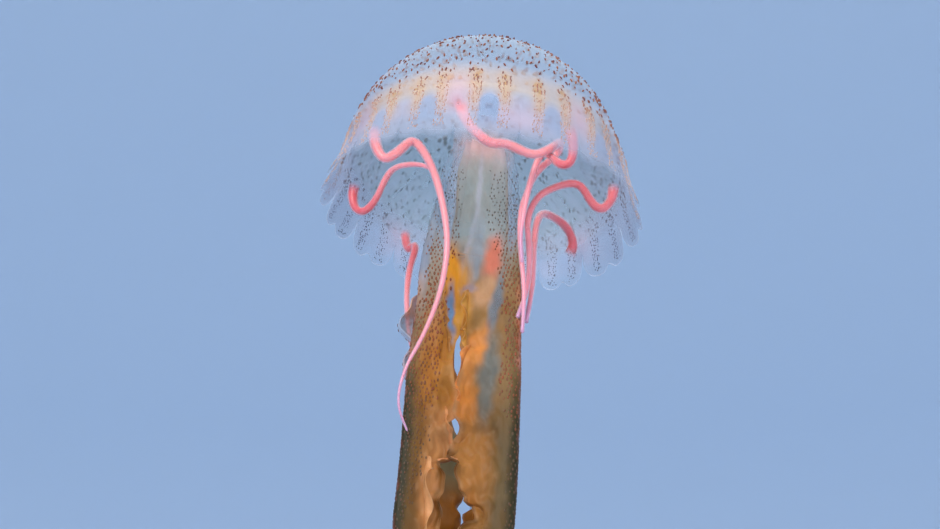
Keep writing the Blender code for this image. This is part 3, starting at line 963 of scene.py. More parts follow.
@dataclass(frozen=True)
class BellWarts:
    """Nettle warts of the bell: scattered over the dome and packed in two streaks on each lappet.

    dome_tries is how many places on the dome are tried, each golden_turn further round. probe is the small
    step, in millimetres down and degrees round, by which the slope of the bell is felt.
    """

    bell: Bell = Bell()
    dome_tries: int = 1500
    golden_turn: float = 137.508
    streak_step: float = 0.78
    streak_lanes: int = 4
    probe: float = 0.05
    seed: int = 7

    def dome(self, dice: np.random.Generator) -> tuple[Array, Array, Array]:
        """Places and lengths of the warts scattered over the dome.

        Args:
            dice: Source of the scatter.

        Returns:
            The azimuths, the distances below the ring and the half lengths.
        """
        index = np.arange(self.dome_tries) + 0.5
        polar = np.degrees(np.arccos(1.0 - index / self.dome_tries))
        stray = dice.normal(0.0, 1.2, index.size) * 40.0 / (polar + 12.0)
        azimuth = np.mod(index * self.golden_turn + stray, 360.0)
        polar = polar + dice.normal(0.0, 1.3, index.size)
        below = np.radians(polar - self.bell.ring_polar) * self.bell.radius
        streak = self.bell.margin.streak_distance(azimuth, self.bell.radius)
        away = ease(-0.1, 0.2, -np.cos(np.radians(azimuth)))
        chance = np.where(below > -13.0, np.maximum(hump(0.0, 3.0, streak), 0.85 * away), 0.8)
        chance = chance * (1.0 - 0.35 * hump(-62.0, 14.0, below))
        keep = (dice.random(index.size) < chance) & (polar > 1.0) & (below < -9.0 + 7.0 * away)
        return azimuth[keep], below[keep], dice.uniform(0.42, 0.78, keep.sum())

    def streaks(self, dice: np.random.Generator) -> tuple[Array, Array, Array]:
        """Places and lengths of the warts in the streaks.

        Args:
            dice: Source of the scatter.

        Returns:
            The azimuths, the distances below the ring and the half lengths.
        """
        margin = self.bell.margin
        edges = margin.bounds()
        found = []
        for low, high in zip(edges, edges[1:]):
            for place in margin.streak_parts:
                middle = low + (high - low) * place
                front = max(0.0, math.cos(math.radians(middle)))
                end = float(margin.hang(np.array([middle]))[0]) * (0.9 - 0.19 * front)
                start = -10.5 + float(self.bell.late(middle))
                for below in np.arange(start, end, self.streak_step):
                    spread = 2.3 - 0.7 * float(ease(-4.0, 8.0, below))
                    for lane in range(self.streak_lanes):
                        side = (2.0 * (lane + 0.5) / self.streak_lanes - 1.0) * spread
                        side += dice.normal(0.0, 0.22)
                        size = 0.5 - 0.16 * float(ease(-6.0, 3.0, below)) + dice.uniform(-0.08, 0.1)
                        if dice.random() < 0.26 + 0.46 * float(ease(-9.0, 1.0, below)):
                            found.append((middle + math.degrees(side / self.bell.radius),
                                          below + dice.normal(0.0, 0.2), size))
        return tuple(np.array(found).T)

    def build(self) -> Object:
        """Make all the bell's warts as one piece.

        Returns:
            The piece.
        """
        dice = np.random.default_rng(self.seed)
        azimuth, below, length = (np.concatenate(pair) for pair in zip(self.dome(dice), self.streaks(dice)))
        places = self.bell.outside(azimuth, below)
        downs = self.bell.outside(azimuth, below + self.probe) - places
        sides = self.bell.outside(azimuth + self.probe, below) - places
        normals = np.cross(downs, sides)
        sides = sides * (np.linalg.norm(downs, axis=1) / np.linalg.norm(sides, axis=1))[:, None]
        downs = downs + sides * dice.normal(0.0, 0.3, len(length))[:, None]
        low = ease(-12.0, 1.0, below)
        back = ease(0.2, 0.7, -np.cos(np.radians(azimuth)))
        crown = np.maximum(1.0 - ease(-62.0, -34.0, below), back * (1.0 - ease(-46.0, -28.0, below)))
        far = ease(78.0, 104.0, np.abs(signed(azimuth)))
        length = length * (1.0 - 0.24 * far * low) * (1.0 - 0.12 * crown)
        width = length * (0.4 - 0.02 * low + 0.3 * far * low)
        height = length * (0.6 + 2.0 * crown - 0.25 * low)
        sizes = np.stack([length * (1.22 - 0.2 * low + 0.25 * crown), width + 0.42 * crown * back, height],
                         axis=1)
        glow = dice.random(len(length))[:, None]
        low, far = low[:, None], far[:, None] * ease(-50.0, -25.0, below)[:, None]
        foot = blend(shade(110, 54, 46), shade(150, 98, 58), glow)
        foot = blend(blend(foot, shade(214, 176, 150), low), shade(58, 52, 74), far)
        top = blend(shade(78, 20, 30), shade(140, 56, 36), glow)
        top = blend(blend(top, shade(158, 96, 72), low), shade(46, 40, 58), far)
        polar = np.radians(self.bell.ring_polar) + below / self.bell.radius
        turn = np.radians(azimuth)
        unwrap = 0.5 + 0.24 * polar[:, None] * np.stack([np.sin(turn), -np.cos(turn)], axis=1)
        warts = WartField("bell_warts").build(places, normals, downs, sizes, (foot, top), unwrap)
        return settle(warts, WART_FINISH.build(), Slot.BELL)


# ---------------------------------------------------------------- arms

@dataclass(frozen=True)
class Arm:
    """One of the four arms. end is its depth below the ring, and phase sets its folds apart."""

    name: str
    side: Side
    face: Face
    end: float
    phase: float


@dataclass(frozen=True)
class Patch:
    """A soft-edged patch of colour on the front of the arms.

    place is its middle, sideways from the bell's axis and in depth. reach is its half size both ways,
    and lean is how far it moves sideways for each millimetre down.
    """

    place: tuple[float, float]
    reach: tuple[float, float]
    lean: float
    colour: tuple[float, float, float]
    haze: float
    weight: float = 0.9

    def cover(self, side: Array, depth: Array) -> Array:
        """Weight of the patch at places on the front of the arms."""
        down = depth - self.place[1]
        across = (side - self.place[0] - self.lean * down) / self.reach[0]
        return self.weight * (1.0 - ease(0.42, 1.42, np.hypot(across, down / self.reach[1])))


PATCHES = (
    Patch((-0.9, 8.0), (0.9, 15.0), 0.03, (170, 176, 194), 0.62, 0.42),
    Patch((-2.0, 28.0), (0.9, 11.0), -0.1, (168, 174, 190), 0.62, 0.4),
    Patch((0.4, 33.0), (2.0, 15.0), -0.05, (132, 146, 156), 0.55),
    Patch((-2.2, 51.0), (3.1, 15.0), -0.02, (202, 140, 52), 0.92),
    Patch((-6.0, 39.0), (2.2, 9.6), 0.06, (218, 142, 24), 0.94, 0.95),
    Patch((-5.0, 53.8), (1.2, 9.4), 0.13, (88, 140, 182), 0.85),
    Patch((5.4, 33.5), (2.7, 8.4), -0.05, (202, 108, 82), 0.92),
    Patch((4.4, 46.5), (3.2, 5.2), -0.1, (190, 144, 104), 0.88),
    Patch((-0.6, 45.4), (2.2, 2.4), 0.0, (146, 136, 150), 0.7, 0.7),
    Patch((7.6, 50.0), (1.8, 12.0), -0.1, (104, 128, 142), 0.55),
    Patch((3.0, 67.0), (3.2, 9.8), -0.2, (218, 136, 64), 0.94),
    # Painted sheen: the grey patch on the right arm.
    Patch((7.6, 74.0), (2.9, 15.0), -0.03, (110, 116, 110), 0.78),
    Patch((1.6, 84.0), (3.4, 8.8), 0.0, (216, 130, 52), 0.94),
    Patch((-11.0, 68.0), (4.8, 19.0), 0.04, (190, 112, 38), 0.92, 0.62),
    Patch((-3.4, 91.0), (4.6, 8.4), 0.1, (210, 140, 80), 0.95),
    Patch((-5.6, 108.0), (2.8, 14.0), 0.02, (226, 154, 90), 0.95),
    Patch((12.4, 106.0), (2.8, 20.0), 0.0, (118, 94, 52), 0.9, 0.8),
    Patch((5.6, 104.0), (5.8, 17.0), 0.03, (208, 136, 64), 0.95),
)


@dataclass(frozen=True)
class OralArms:
    """The mouth tube and the four frilled arms that hang from it, as one skin.

    The tables give values by depth below the ring: half the bundle's width, its centre's place, half the
    gap between the two front arms or the two back ones, and how far that gap lies to the side. flap is how
    far the pale flap of the back left arm stands out, as a share of half the width. stations are the
    shares round an arm's section, by share across the grid. The section is 0 at the rim by the gap,
    outer_share at the rim at the side, and 1 back at the gap on the inner face. The arms close on their
    core, given as shares across the bundle, over top_round at the top and tip_round at the tip.
    """

    arms: tuple[Arm, ...] = (Arm("front_left", Side.LEFT, Face.FRONT, 188.0, 0.0),
                             Arm("front_right", Side.RIGHT, Face.FRONT, 182.0, 1.7),
                             Arm("back_left", Side.LEFT, Face.BACK, 176.0, 3.4),
                             Arm("back_right", Side.RIGHT, Face.BACK, 183.0, 5.1))
    start: float = -20.2
    top_round: float = 1.5
    tip_round: float = 5.0
    core: tuple[float, float] = (0.75, 0.8)
    half_width: tuple = ((-21.4, 12.0), (-15.0, 10.0), (-9.0, 9.6), (-5.0, 10.6), (2.0, 12.0), (14.0, 12.9),
                         (24.0, 14.0), (36.0, 15.0), (55.0, 15.5), (75.0, 16.1), (115.0, 16.1),
                         (135.0, 14.2), (155.0, 10.9), (172.0, 6.8), (190.0, 2.4))
    depth_ratio: float = 0.74
    centre_side: tuple = ((-22.0, -1.0), (-5.0, -1.3), (20.0, -0.9), (38.0, -0.8), (52.0, 0.1), (115.0, 2.2),
                          (150.0, 3.8), (190.0, 7.0))
    bend_start: float = 95.0
    bend_rate: float = 0.0023
    seam_side: tuple = ((-5.0, 0.0), (50.0, -1.6), (62.0, -2.2), (72.0, -2.2), (82.0, -1.8), (90.0, -2.1),
                        (98.0, -2.4), (101.2, -2.3), (107.5, -1.8), (110.5, -0.7), (112.0, 0.7),
                        (116.0, 0.6), (119.0, -0.6), (123.0, -0.8), (150.0, 0.8), (190.0, 0.3))
    seam_gap: tuple = ((-5.0, -0.5), (57.0, -0.6), (63.0, 0.6), (69.0, 1.5), (76.0, 0.3), (80.0, -0.3),
                       (86.4, -0.4), (90.3, 1.8), (94.4, -0.4), (99.6, -0.9), (101.0, 2.3), (104.5, 1.9),
                       (107.5, 2.1), (110.6, 2.9), (112.0, 4.7), (116.0, 4.4), (119.0, 2.4), (132.0, 2.2),
                       (150.0, 1.0), (190.0, 0.5))
    back_gap: tuple = ((-5.0, -0.4), (42.0, -0.4), (47.0, 1.2), (54.0, 1.9), (60.0, 1.4), (65.0, 0.1),
                       (70.0, 1.2), (76.0, 1.9), (81.0, 1.3), (85.0, -0.4), (93.0, -0.4), (97.0, 3.4),
                       (102.5, 3.6), (106.5, 0.6), (114.0, 1.2), (132.0, 2.0), (150.0, 1.0), (190.0, 0.5))
    back_side: tuple = ((-5.0, 0.0), (46.0, -2.2), (60.0, -2.0), (72.0, -1.6), (80.0, -0.9), (86.0, 1.0),
                        (96.5, 4.9), (102.0, 4.9), (106.0, 1.8), (112.0, 1.6), (130.0, 0.6), (190.0, 0.3))
    flap: tuple = ((41.0, 0.0), (46.0, 0.3), (48.5, 0.3), (52.5, 0.4), (55.0, 0.37), (60.0, 0.16),
                   (62.0, 0.18), (65.5, 0.3), (69.0, 0.22), (73.0, 0.0))
    frill_wave: float = 17.0
    frill_swing: float = 0.09
    frill_length: float = 3.4
    frill_shares: tuple[float, ...] = (1.0, 0.67, 0.33, 0.0)
    wing: float = 0.5
    front_grid: tuple[int, int] = (104, 380)
    back_grid: tuple[int, int] = (44, 200)
    outer_share: float = 0.58
    ground_turns: tuple[float, ...] = tuple(np.linspace(0.08, 0.28, 40))
    stations: tuple = ((0.0, 0.0), (0.1, 0.145), (0.3, 0.193), (0.43, 0.242), (0.56, 0.387), (0.62, 0.435),
                       (0.7, 0.58), (1.0, 1.0))

    def centre(self, depth: Array) -> tuple[Array, Array]:
        """Sideways and backwards place of the bundle's centre at depths below the ring."""
        bend = np.maximum(0.0, depth - self.bend_start)
        return smooth_table(self.centre_side, depth), 0.5 * self.bend_rate * bend * bend

    def flap_reach(self, arm: Arm, depth: Array) -> Array:
        """How far an arm's pale flap stands out, which only the back left arm has."""
        return smooth_table(self.flap, depth) * (arm.side is Side.LEFT and arm.face is Face.BACK)

    def ruffle(self, depth: Array, phase: float) -> tuple[Array, Array]:
        """How far a free edge is rolled over, 0 to 1, and how far it waves to and fro, -1 to 1.

        Args:
            depth: Depths below the ring.
            phase: The arm's phase.

        Returns:
            The roll and the wave.
        """
        a = 2.0 * math.pi * depth
        roll = np.sin(a / 11.0 + phase + 1.0 * np.sin(a / 41.0 + phase))
        roll = roll + 0.2 * np.sin(a / 5.3 + 2.0 * phase)
        wave = np.sin(a / 9.0 + 1.3 * phase + 0.8 * np.sin(a / 29.0)) + 0.25 * np.sin(a / 4.4 + phase)
        return 0.6 + 0.34 * roll, wave / 1.25

    def frill(self, edge: Array, level: Array, turn: Array,
              share: float) -> tuple[Array, Array, Array, Array]:
        """Middle of a wing near its free edge, which rolls out and back on itself.

        Args:
            edge: Furthest reach of the wing, along it.
            level: How far out the wing lies before it rolls.
            turn: Whole angle of the roll, in radians.
            share: Place along the roll: 0 where it starts, 1 at the free edge.

        Returns:
            The place along the wing and outwards, in millimetres, and the outward direction there.
        """
        peak = np.minimum(turn, math.pi / 2.0)
        furthest, _ = bent_reach(self.frill_length * peak / np.maximum(turn, 1e-6), peak)
        angle = turn * share
        ahead, aside = bent_reach(self.frill_length * share, angle)
        return edge + furthest - ahead, level + aside, np.sin(angle), np.cos(angle)

    def outlines(self, arm: Arm, depth: Array) -> tuple[list[tuple[Array, Array]],
                                                        list[tuple[Array, Array]]]:
        """Outer and inner outline of an arm, from its front tip to its side tip, as shares of the bundle.

        Args:
            arm: The arm.
            depth: Depths below the ring.

        Returns:
            The knots of the outer and of the inner outline.
        """
        half_width = smooth_table(self.half_width, depth)
        half_depth = half_width * self.depth_ratio
        front = arm.face is Face.FRONT
        seam_centre = smooth_table(self.seam_side if front else self.back_side, depth)
        seam_gap = smooth_table(self.seam_gap if front else self.back_gap, depth)
        swing = self.frill_swing * np.sin(2.0 * np.pi * depth / self.frill_wave + arm.phase)
        swing = swing * ease(-5.0, 30.0, depth)
        roll, wave = self.ruffle(depth, arm.phase)
        loose = ease(34.0, 70.0, depth)
        curled = roll * (0.9 * loose + 1.6 * ease(88.0, 104.0, depth))
        curled = curled * (1.0 - 0.6 * ease(160.0, 185.0, depth))
        scallop = 0.25 * loose + 0.5 * ease(92.0, 104.0, depth)
        front_edge = seam_gap + arm.side * seam_centre + scallop * wave
        layer = 0.5 * arm.side * (1.0 - loose)
        front_level = (0.86 + swing) * half_depth + layer + 0.5 * loose * wave
        flap = self.flap_reach(arm, depth)
        side_edge = 0.3 + 0.6 * np.abs(np.sin(np.pi * depth / self.frill_wave)) + 0.3 * loose * (1.0 + wave)
        side_level = (0.87 - 0.5 * swing + flap) * half_width - 0.5 * loose * wave
        outer, inner = [], []
        half = 0.5 * self.wing
        for share in self.frill_shares:
            along, out, away, lift = self.frill(front_edge, front_level, curled, share)
            outer.append(((along + half * away) / half_width, (out + half * lift) / half_depth))
            inner.append(((along - half * away) / half_width, (out - half * lift) / half_depth))
        outer += [(0.5, 0.93 + swing / 3.0), (0.82, 1.0), (0.97, 0.97), (1.0, 0.8)]
        outer += [(0.98, 0.58 + flap / 4.0)]
        inner += [(0.5, 0.78 + swing / 3.0), (0.7, 0.64)]
        for share in reversed(self.frill_shares):
            along, out, away, lift = self.frill(side_edge, side_level, 0.3 * curled * (flap < 0.02), share)
            outer.append(((out + half * lift) / half_width, (along + half * away) / half_depth))
            inner.append(((out - half * lift) / half_width, (along - half * away) / half_depth))
        return outer, inner

    def along_curve(self, knots: list[tuple[Array, Array]], share: Array) -> tuple[Array, Array]:
        """Points at shares of smooth curves through knots, one curve for each share.

        Args:
            knots: The knots, each a number or one number for each share.
            share: The shares.

        Returns:
            The two coordinates of the points.
        """
        table = np.array([[np.broadcast_to(value, share.shape) for value in knot] for knot in knots])
        table = lengthened(table)
        spans = len(knots) - 1
        place = np.clip(share, 0.0, 1.0) * spans
        span = np.minimum(place.astype(int), spans - 1)
        column = np.arange(len(share))
        a, b = spline(*(table[span + k, :, column].T for k in range(4)), place - span)
        return a, b

    def surface(self, arm: Arm, turn: Array, depth: Array) -> tuple[Array, Array, Array]:
        """Points of an arm's skin.

        Args:
            arm: The arm.
            turn: Share round the section: the outer face first, then the inner face back.
            depth: Depth below the ring.

        Returns:
            The points, and the shares across the bundle sideways and front to back.
        """
        outer, inner = self.outlines(arm, depth)
        on_outer = turn <= self.outer_share
        a0, b0 = self.along_curve(outer, turn / self.outer_share)
        a1, b1 = self.along_curve(inner, (1.0 - turn) / (1.0 - self.outer_share))
        a, b = np.where(on_outer, a0, a1), np.where(on_outer, b0, b1)
        close = np.clip((arm.end - depth) / self.tip_round, 0.0, 1.0)
        close = np.sqrt(close * np.clip((depth - self.start) / self.top_round, 0.0, 1.0))
        core_a, core_b = self.core
        a, b = core_a + (a - core_a) * close, core_b + (b - core_b) * close
        half_width = smooth_table(self.half_width, depth)
        folds = (1.0 - ease(0.5, 0.8, a)) * ease(34.0, 60.0, depth) * close
        folds = folds * (0.5 + 0.2 * ease(70.0, 95.0, depth))
        b = b + folds * ripple(1.3 * a * half_width, 0.8 * depth, arm.phase) / half_width
        side, back = self.centre(depth)
        points = np.stack([side + arm.side * a * half_width,
                           back + arm.face * b * half_width * self.depth_ratio, -depth], axis=-1)
        return points, a, b

    def ground(self, face: Face, side: Array, depth: Array) -> Array:
        """Front-to-back place of the arms' outer face at places across the bundle.

        Args:
            face: Front or back.
            side: Places across the bundle.
            depth: Depths below the ring.

        Returns:
            The front-to-back places.
        """
        found = np.zeros(len(side))
        nearest = np.full(len(side), np.inf)
        for arm in (arm for arm in self.arms if arm.face is face):
            for turn in self.ground_turns:
                points, _, _ = self.surface(arm, np.full(len(side), turn), depth)
                away = np.abs(points[:, 0] - side)
                found = np.where(away < nearest, points[:, 1], found)
                nearest = np.minimum(nearest, away)
        return found

    def tissue(self, arm: Arm, turn: Array, points: Array, a: Array, b: Array) -> Paint:
        """Colour of an arm's flesh.

        Args:
            arm: The arm.
            turn: Share round the section of each point.
            points: The points, in the animal's frame.
            a: Share across the bundle, from its middle to its side.
            b: Share across the bundle, from its middle to its front or back.

        Returns:
            The paint: pale and clear at the mouth tube, then gold, then olive and coral at the sides, with
            a painted highlight along the free edges and painted shade further down.
        """
        left = arm.side is Side.LEFT
        ragged = ease(20.0, 44.0, -points[:, 2])
        depth = -points[:, 2] + (0.6 + 0.9 * ragged) * ripple(points[:, 0], 0.5 * points[:, 2], 1.0)
        side = points[:, 0] + (0.25 + 0.35 * ragged) * ripple(0.7 * points[:, 0], 0.7 * points[:, 2])
        a = a + 0.03 * ripple(points[:, 0], points[:, 2], 2.0) * ragged
        paint = Paint(len(depth), shade(138, 150, 149), 0.6)
        outer = turn <= self.outer_share
        edge = np.where(outer, turn / self.outer_share, (1.0 - turn) / (1.0 - self.outer_share))
        keel = ease(0.6, 0.92, a) * ease(0.3, 0.6, b)
        rim = 1.0 - ease(0.03, 0.12, edge)
        strip = 0.56 - 0.1 * ease(0.0, 20.0, depth) if left else 0.7
        high = 1.0 - ease(22.0, 38.0, depth)
        paint.lay(hump(-11.0, 7.0, depth) * 0.75, shade(216, 172, 172), 0.5)
        paint.lay(ease(strip, strip + 0.06, a) * high * ease(-14.0, -2.0, depth), shade(144, 166, 188), 0.3)
        paint.lay(hump(strip, 0.03, a) * ease(-6.0, 6.0, depth) * high * 0.75, shade(132, 112, 90), 0.8)
        if left:
            paint.lay(ease(24.0, 46.0, depth), shade(172, 112, 44), 0.9)
        else:
            paint.lay(ease(22.0, 48.0, depth), shade(146, 106, 58), 0.9)
        paint.lay(ease(78.0, 108.0, depth) * 0.75, shade(130, 86, 38), 0.92)
        if arm.face is Face.FRONT:
            for patch in PATCHES:
                paint.lay(patch.cover(side, depth) * (b > 0.45), shade(*patch.colour), patch.haze)
            # Painted highlight: a pale line along the front arms' free edges.
            paint.lay(rim * ease(58.0, 90.0, depth) * 0.5, shade(232, 172, 116), 0.85)
            paint.lay(np.where(outer, 0.0, 0.3), shade(206, 146, 92))
        else:
            paint.lay(ease(20.0, 60.0, depth) * 0.5, shade(150, 100, 44), 0.9)
            paint.lay(hump(88.0, 9.0, depth) * 0.95, shade(132, 140, 112), 0.94)
            paint.lay(ease(96.0, 106.0, depth) * 0.9, shade(166, 100, 20), 0.94)
            # Painted highlight: a lighter line along the back arms' free edges.
            paint.lay(rim * ease(50.0, 80.0, depth) * 0.4, shade(200, 132, 74), 0.9)
        paint.lay(keel * ease(4.0, 40.0, depth) * 0.75, shade(128, 104, 62), 0.86)
        if left:
            paint.lay(ease(0.45, 0.6, a) * hump(41.0, 15.0, depth) * 0.65, shade(148, 144, 132), 0.8)
        olive = ease(0.76, 0.92, a) * ease(46.0, 92.0, depth)
        paint.lay(olive * 0.92, shade(58, 56, 32), 0.92)
        blush = ease(0.965, 1.0, a) * ease(30.0, 60.0, depth)
        paint.lay(blush * (0.7 if left else 0.4), shade(170, 84, 60), 0.85)
        if left:
            paint.lay(ease(0.8, 0.87, a) * hump(36.0, 12.0, depth) * 0.9, shade(146, 154, 168), 0.5)
        else:
            paint.lay(ease(0.88, 0.98, a) * hump(57.0, 13.0, depth) * 0.75, shade(214, 116, 96), 0.85)
        sail = np.minimum(4.0 * self.flap_reach(arm, depth), 1.0)
        paint.lay(np.maximum(ease(0.99, 1.06, a), ease(0.84, 0.94, a) * sail), shade(196, 208, 226), 0.4)
        paint.lay(hump(1.1, 0.17, a) * hump(47.5, 5.0, depth) * 0.9, shade(236, 170, 124), 0.7)
        paint.lay(hump(1.05, 0.1, a) * hump(66.0, 4.0, depth) * 0.7, shade(214, 150, 128), 0.6)
        # Painted shade: every colour is darkened further down the arms.
        paint.tint *= 1.0 - (0.17 * ease(24.0, 50.0, depth) + 0.3 * ease(66.0, 92.0, depth))[:, None]
        paint.haze *= ease(-20.0, -7.0, depth)
        paint.haze *= 1.0 - 0.7 * ease(0.5, 0.95, a) * (1.0 - ease(-12.0, 3.0, depth))
        return paint

    def skin(self, arm: Arm) -> Object:
        """Make one arm with its quarter of the mouth tube.

        Args:
            arm: The arm.

        Returns:
            Its skin.
        """
        def rule(across: Array, along: Array) -> tuple[Array, Paint]:
            """Wrap the grid round the arm's section and along its depth.

            Args:
                across: Shares round the section.
                along: Shares down the arm.

            Returns:
                The points and their paint.
            """
            depth = self.start + (arm.end - self.start) * along
            turn = np.interp(across, *np.array(self.stations).T)
            points, a, b = self.surface(arm, turn, depth)
            return points, self.tissue(arm, turn, points, a, b)
        grid = self.front_grid if arm.face is Face.FRONT else self.back_grid
        return wrapped_sheet(f"arm_{arm.name}", *grid, rule)

    def build(self) -> Object:
        """Make the skin of the mouth tube and arms.

        Returns:
            The skin.
        """
        skin = join("arms_skin", [self.skin(arm) for arm in self.arms])
        nodes = [f"arm_{arm.name}_{length}" for arm in self.arms for length in ("upper", "middle", "lower")]
        settle(skin, ARM_FINISH.build(), Slot.ARM, "mouth_tube", *nodes)
        skin.visible_shadow = False
        return skin


@dataclass(frozen=True)
class Frill:
    """A free frill on the outside of the arms: a thin ribbon in uneven pleats.

    route is its foot, sideways from the bell's axis and in depth. reach is its width and pleat the
    length of its waves. Seen from outside it leans to the right of its own direction, or to the left
    where lean is -1. Over taper at each end it narrows and its pleats die out in a curl.
    """

    route: tuple[tuple[float, float], ...]
    reach: float
    pleat: float
    colour: tuple[float, float, float]
    lean: int = 1
    face: Face = Face.FRONT
    haze: float = 0.86
    thickness: float = 0.32
    sunk: float = 0.5
    taper: float = 4.5
    step: float = 0.4
    columns: int = 26

    def foot(self, arms: OralArms) -> Array:
        """Evenly spaced points of the frill's foot, a little under the arms' surface.

        Args:
            arms: The arms that carry it.

        Returns:
            The points.
        """
        knots = np.array([(side, 0.0, -depth) for side, depth in self.route])
        line = even_line(knots, self.step, 2)
        line[:, 1] = soften(arms.ground(self.face, line[:, 0], -line[:, 2]) - self.sunk * self.face, 6)
        return line

    def sheet(self, name: str, arms: OralArms) -> Object:
        """Make the frill as a closed ribbon.

        Args:
            name: The ribbon's name.
            arms: The arms that carry it.

        Returns:
            The ribbon.
        """
        line = self.foot(arms)
        ahead = unit(np.gradient(line, axis=0))
        outward = np.array([0.0, float(self.face), 0.0])
        sideways = self.lean * np.cross(ahead, outward)
        run = self.step * np.arange(len(line))
        phase = self.route[0][0] + self.route[0][1]
        beat = 2.0 * math.pi * run / self.pleat + phase
        beat = beat + 0.9 * np.sin(2.0 * math.pi * run / (2.7 * self.pleat))
        curl = 1.25 + 0.95 * np.sin(beat)
        inwards = np.clip(np.minimum(run, run[-1] - run) / self.taper, 0.0, 1.0)
        pleated = ease(0.2, 1.0, inwards)
        ends = np.sqrt(np.maximum(1.0 - (1.0 - inwards) ** 2, 0.004))
        curl = blend(1.9, curl, pleated)
        reach = self.reach * ends * (1.0 + 0.22 * np.sin(0.63 * beat + 2.0))
        sway = 0.35 * self.reach * np.cos(beat) * pleated

        def rule(across: Array, along: Array) -> tuple[Array, Paint]:
            """Wrap the grid up one face of the ribbon and down the other.

            Args:
                across: Shares up one face and down the other.
                along: Shares along the foot.

            Returns:
                The points and their paint.
            """
            index = np.rint(along * (len(line) - 1)).astype(int)
            share = 1.0 - np.abs(2.0 * across - 1.0)
            angle = curl[index] * share
            rise, shift = bent_reach(reach[index] * share, angle)
            thick = 0.5 * self.thickness * np.sin(2.0 * math.pi * across) * np.minimum(reach[index], 1.0)
            points = (line[index] + (rise - thick * np.sin(angle))[:, None] * outward
                      + (shift + thick * np.cos(angle))[:, None] * sideways[index]
                      + (sway[index] * share ** 2)[:, None] * ahead[index])
            return points, self.flesh(share, run[index])
        return wrapped_sheet(name, self.columns, len(line) - 1, rule)

    def flesh(self, share: Array, run: Array) -> Paint:
        """Colour of the ribbon: darker at its foot and paler and clearer to its rim.

        A painted highlight runs along the rim.

        Args:
            share: Share of the way from the foot to the rim.
            run: Distance along the foot.

        Returns:
            The paint.
        """
        paint = Paint(len(share), shade(*self.colour) * 0.74, self.haze)
        paint.lay(ease(0.1, 0.7, share), shade(*self.colour) * 0.82, self.haze - 0.06)
        paint.lay(0.5 * ease(0.0, 1.0, ripple(run, 3.0 * share)), shade(140, 92, 48))
        # Painted highlight: a pale line along the ribbon's rim.
        paint.lay(0.25 * ease(0.75, 0.97, share), shade(232, 172, 116), self.haze - 0.12)
        return paint


FRILLS = (
    Frill(((2.0, 63.0), (0.4, 69.0), (-0.6, 75.0), (0.3, 80.0), (0.6, 85.0)), 2.2, 7.0, (222, 134, 62)),
    Frill(((-0.6, 45.0), (-0.2, 52.0), (0.1, 59.0), (0.7, 65.5)), 3.0, 6.0, (208, 146, 60)),
    Frill(((-9.0, 44.0), (-7.2, 52.0), (-5.6, 60.0), (-4.2, 68.0)), 1.6, 5.0, (172, 116, 54), -1),
    Frill(((-3.8, 83.0), (-3.2, 87.0), (-2.2, 91.5), (-0.6, 96.5)), 2.0, 5.6, (210, 140, 86), -1),
    Frill(((-4.8, 99.4), (-1.0, 98.8), (2.4, 99.2)), 1.6, 6.0, (220, 150, 100)),
    Frill(((-6.6, 99.0), (-7.0, 105.0), (-6.2, 112.0), (-5.0, 120.0), (-4.4, 132.0), (-3.4, 146.0),
           (-0.8, 162.0), (1.8, 176.0)), 3.6, 9.6, (218, 152, 96), -1, haze=0.94),
    Frill(((9.4, 119.0), (8.9, 132.0), (8.4, 148.0), (7.6, 162.0), (8.0, 174.0)), 4.2, 8.4,
          (214, 142, 70), haze=0.92),
    Frill(((-5.0, 52.0), (-5.2, 70.0), (-4.2, 90.0), (-3.4, 110.0), (-2.6, 132.0), (0.4, 152.0),
           (2.2, 168.0)), 4.0, 8.0, (206, 140, 80), -1, Face.BACK, 0.92),
    Frill(((4.4, 48.0), (4.8, 66.0), (5.6, 88.0), (7.0, 112.0), (8.0, 134.0), (8.4, 156.0), (8.2, 174.0)),
          4.0, 7.0, (200, 130, 68), 1, Face.BACK, 0.92),
)


def build_frills(arms: OralArms) -> Object:
    """Make every frill, as one piece.

    Args:
        arms: The arms that carry them.

    Returns:
        The piece.
    """
    sheets = [frill.sheet(f"frill_{number}", arms) for number, frill in enumerate(FRILLS, 1)]
    frills = join("arm_frills", sheets)
    frills.visible_shadow = False
    return settle(frills, FRILL_FINISH.build(), Slot.ARM)


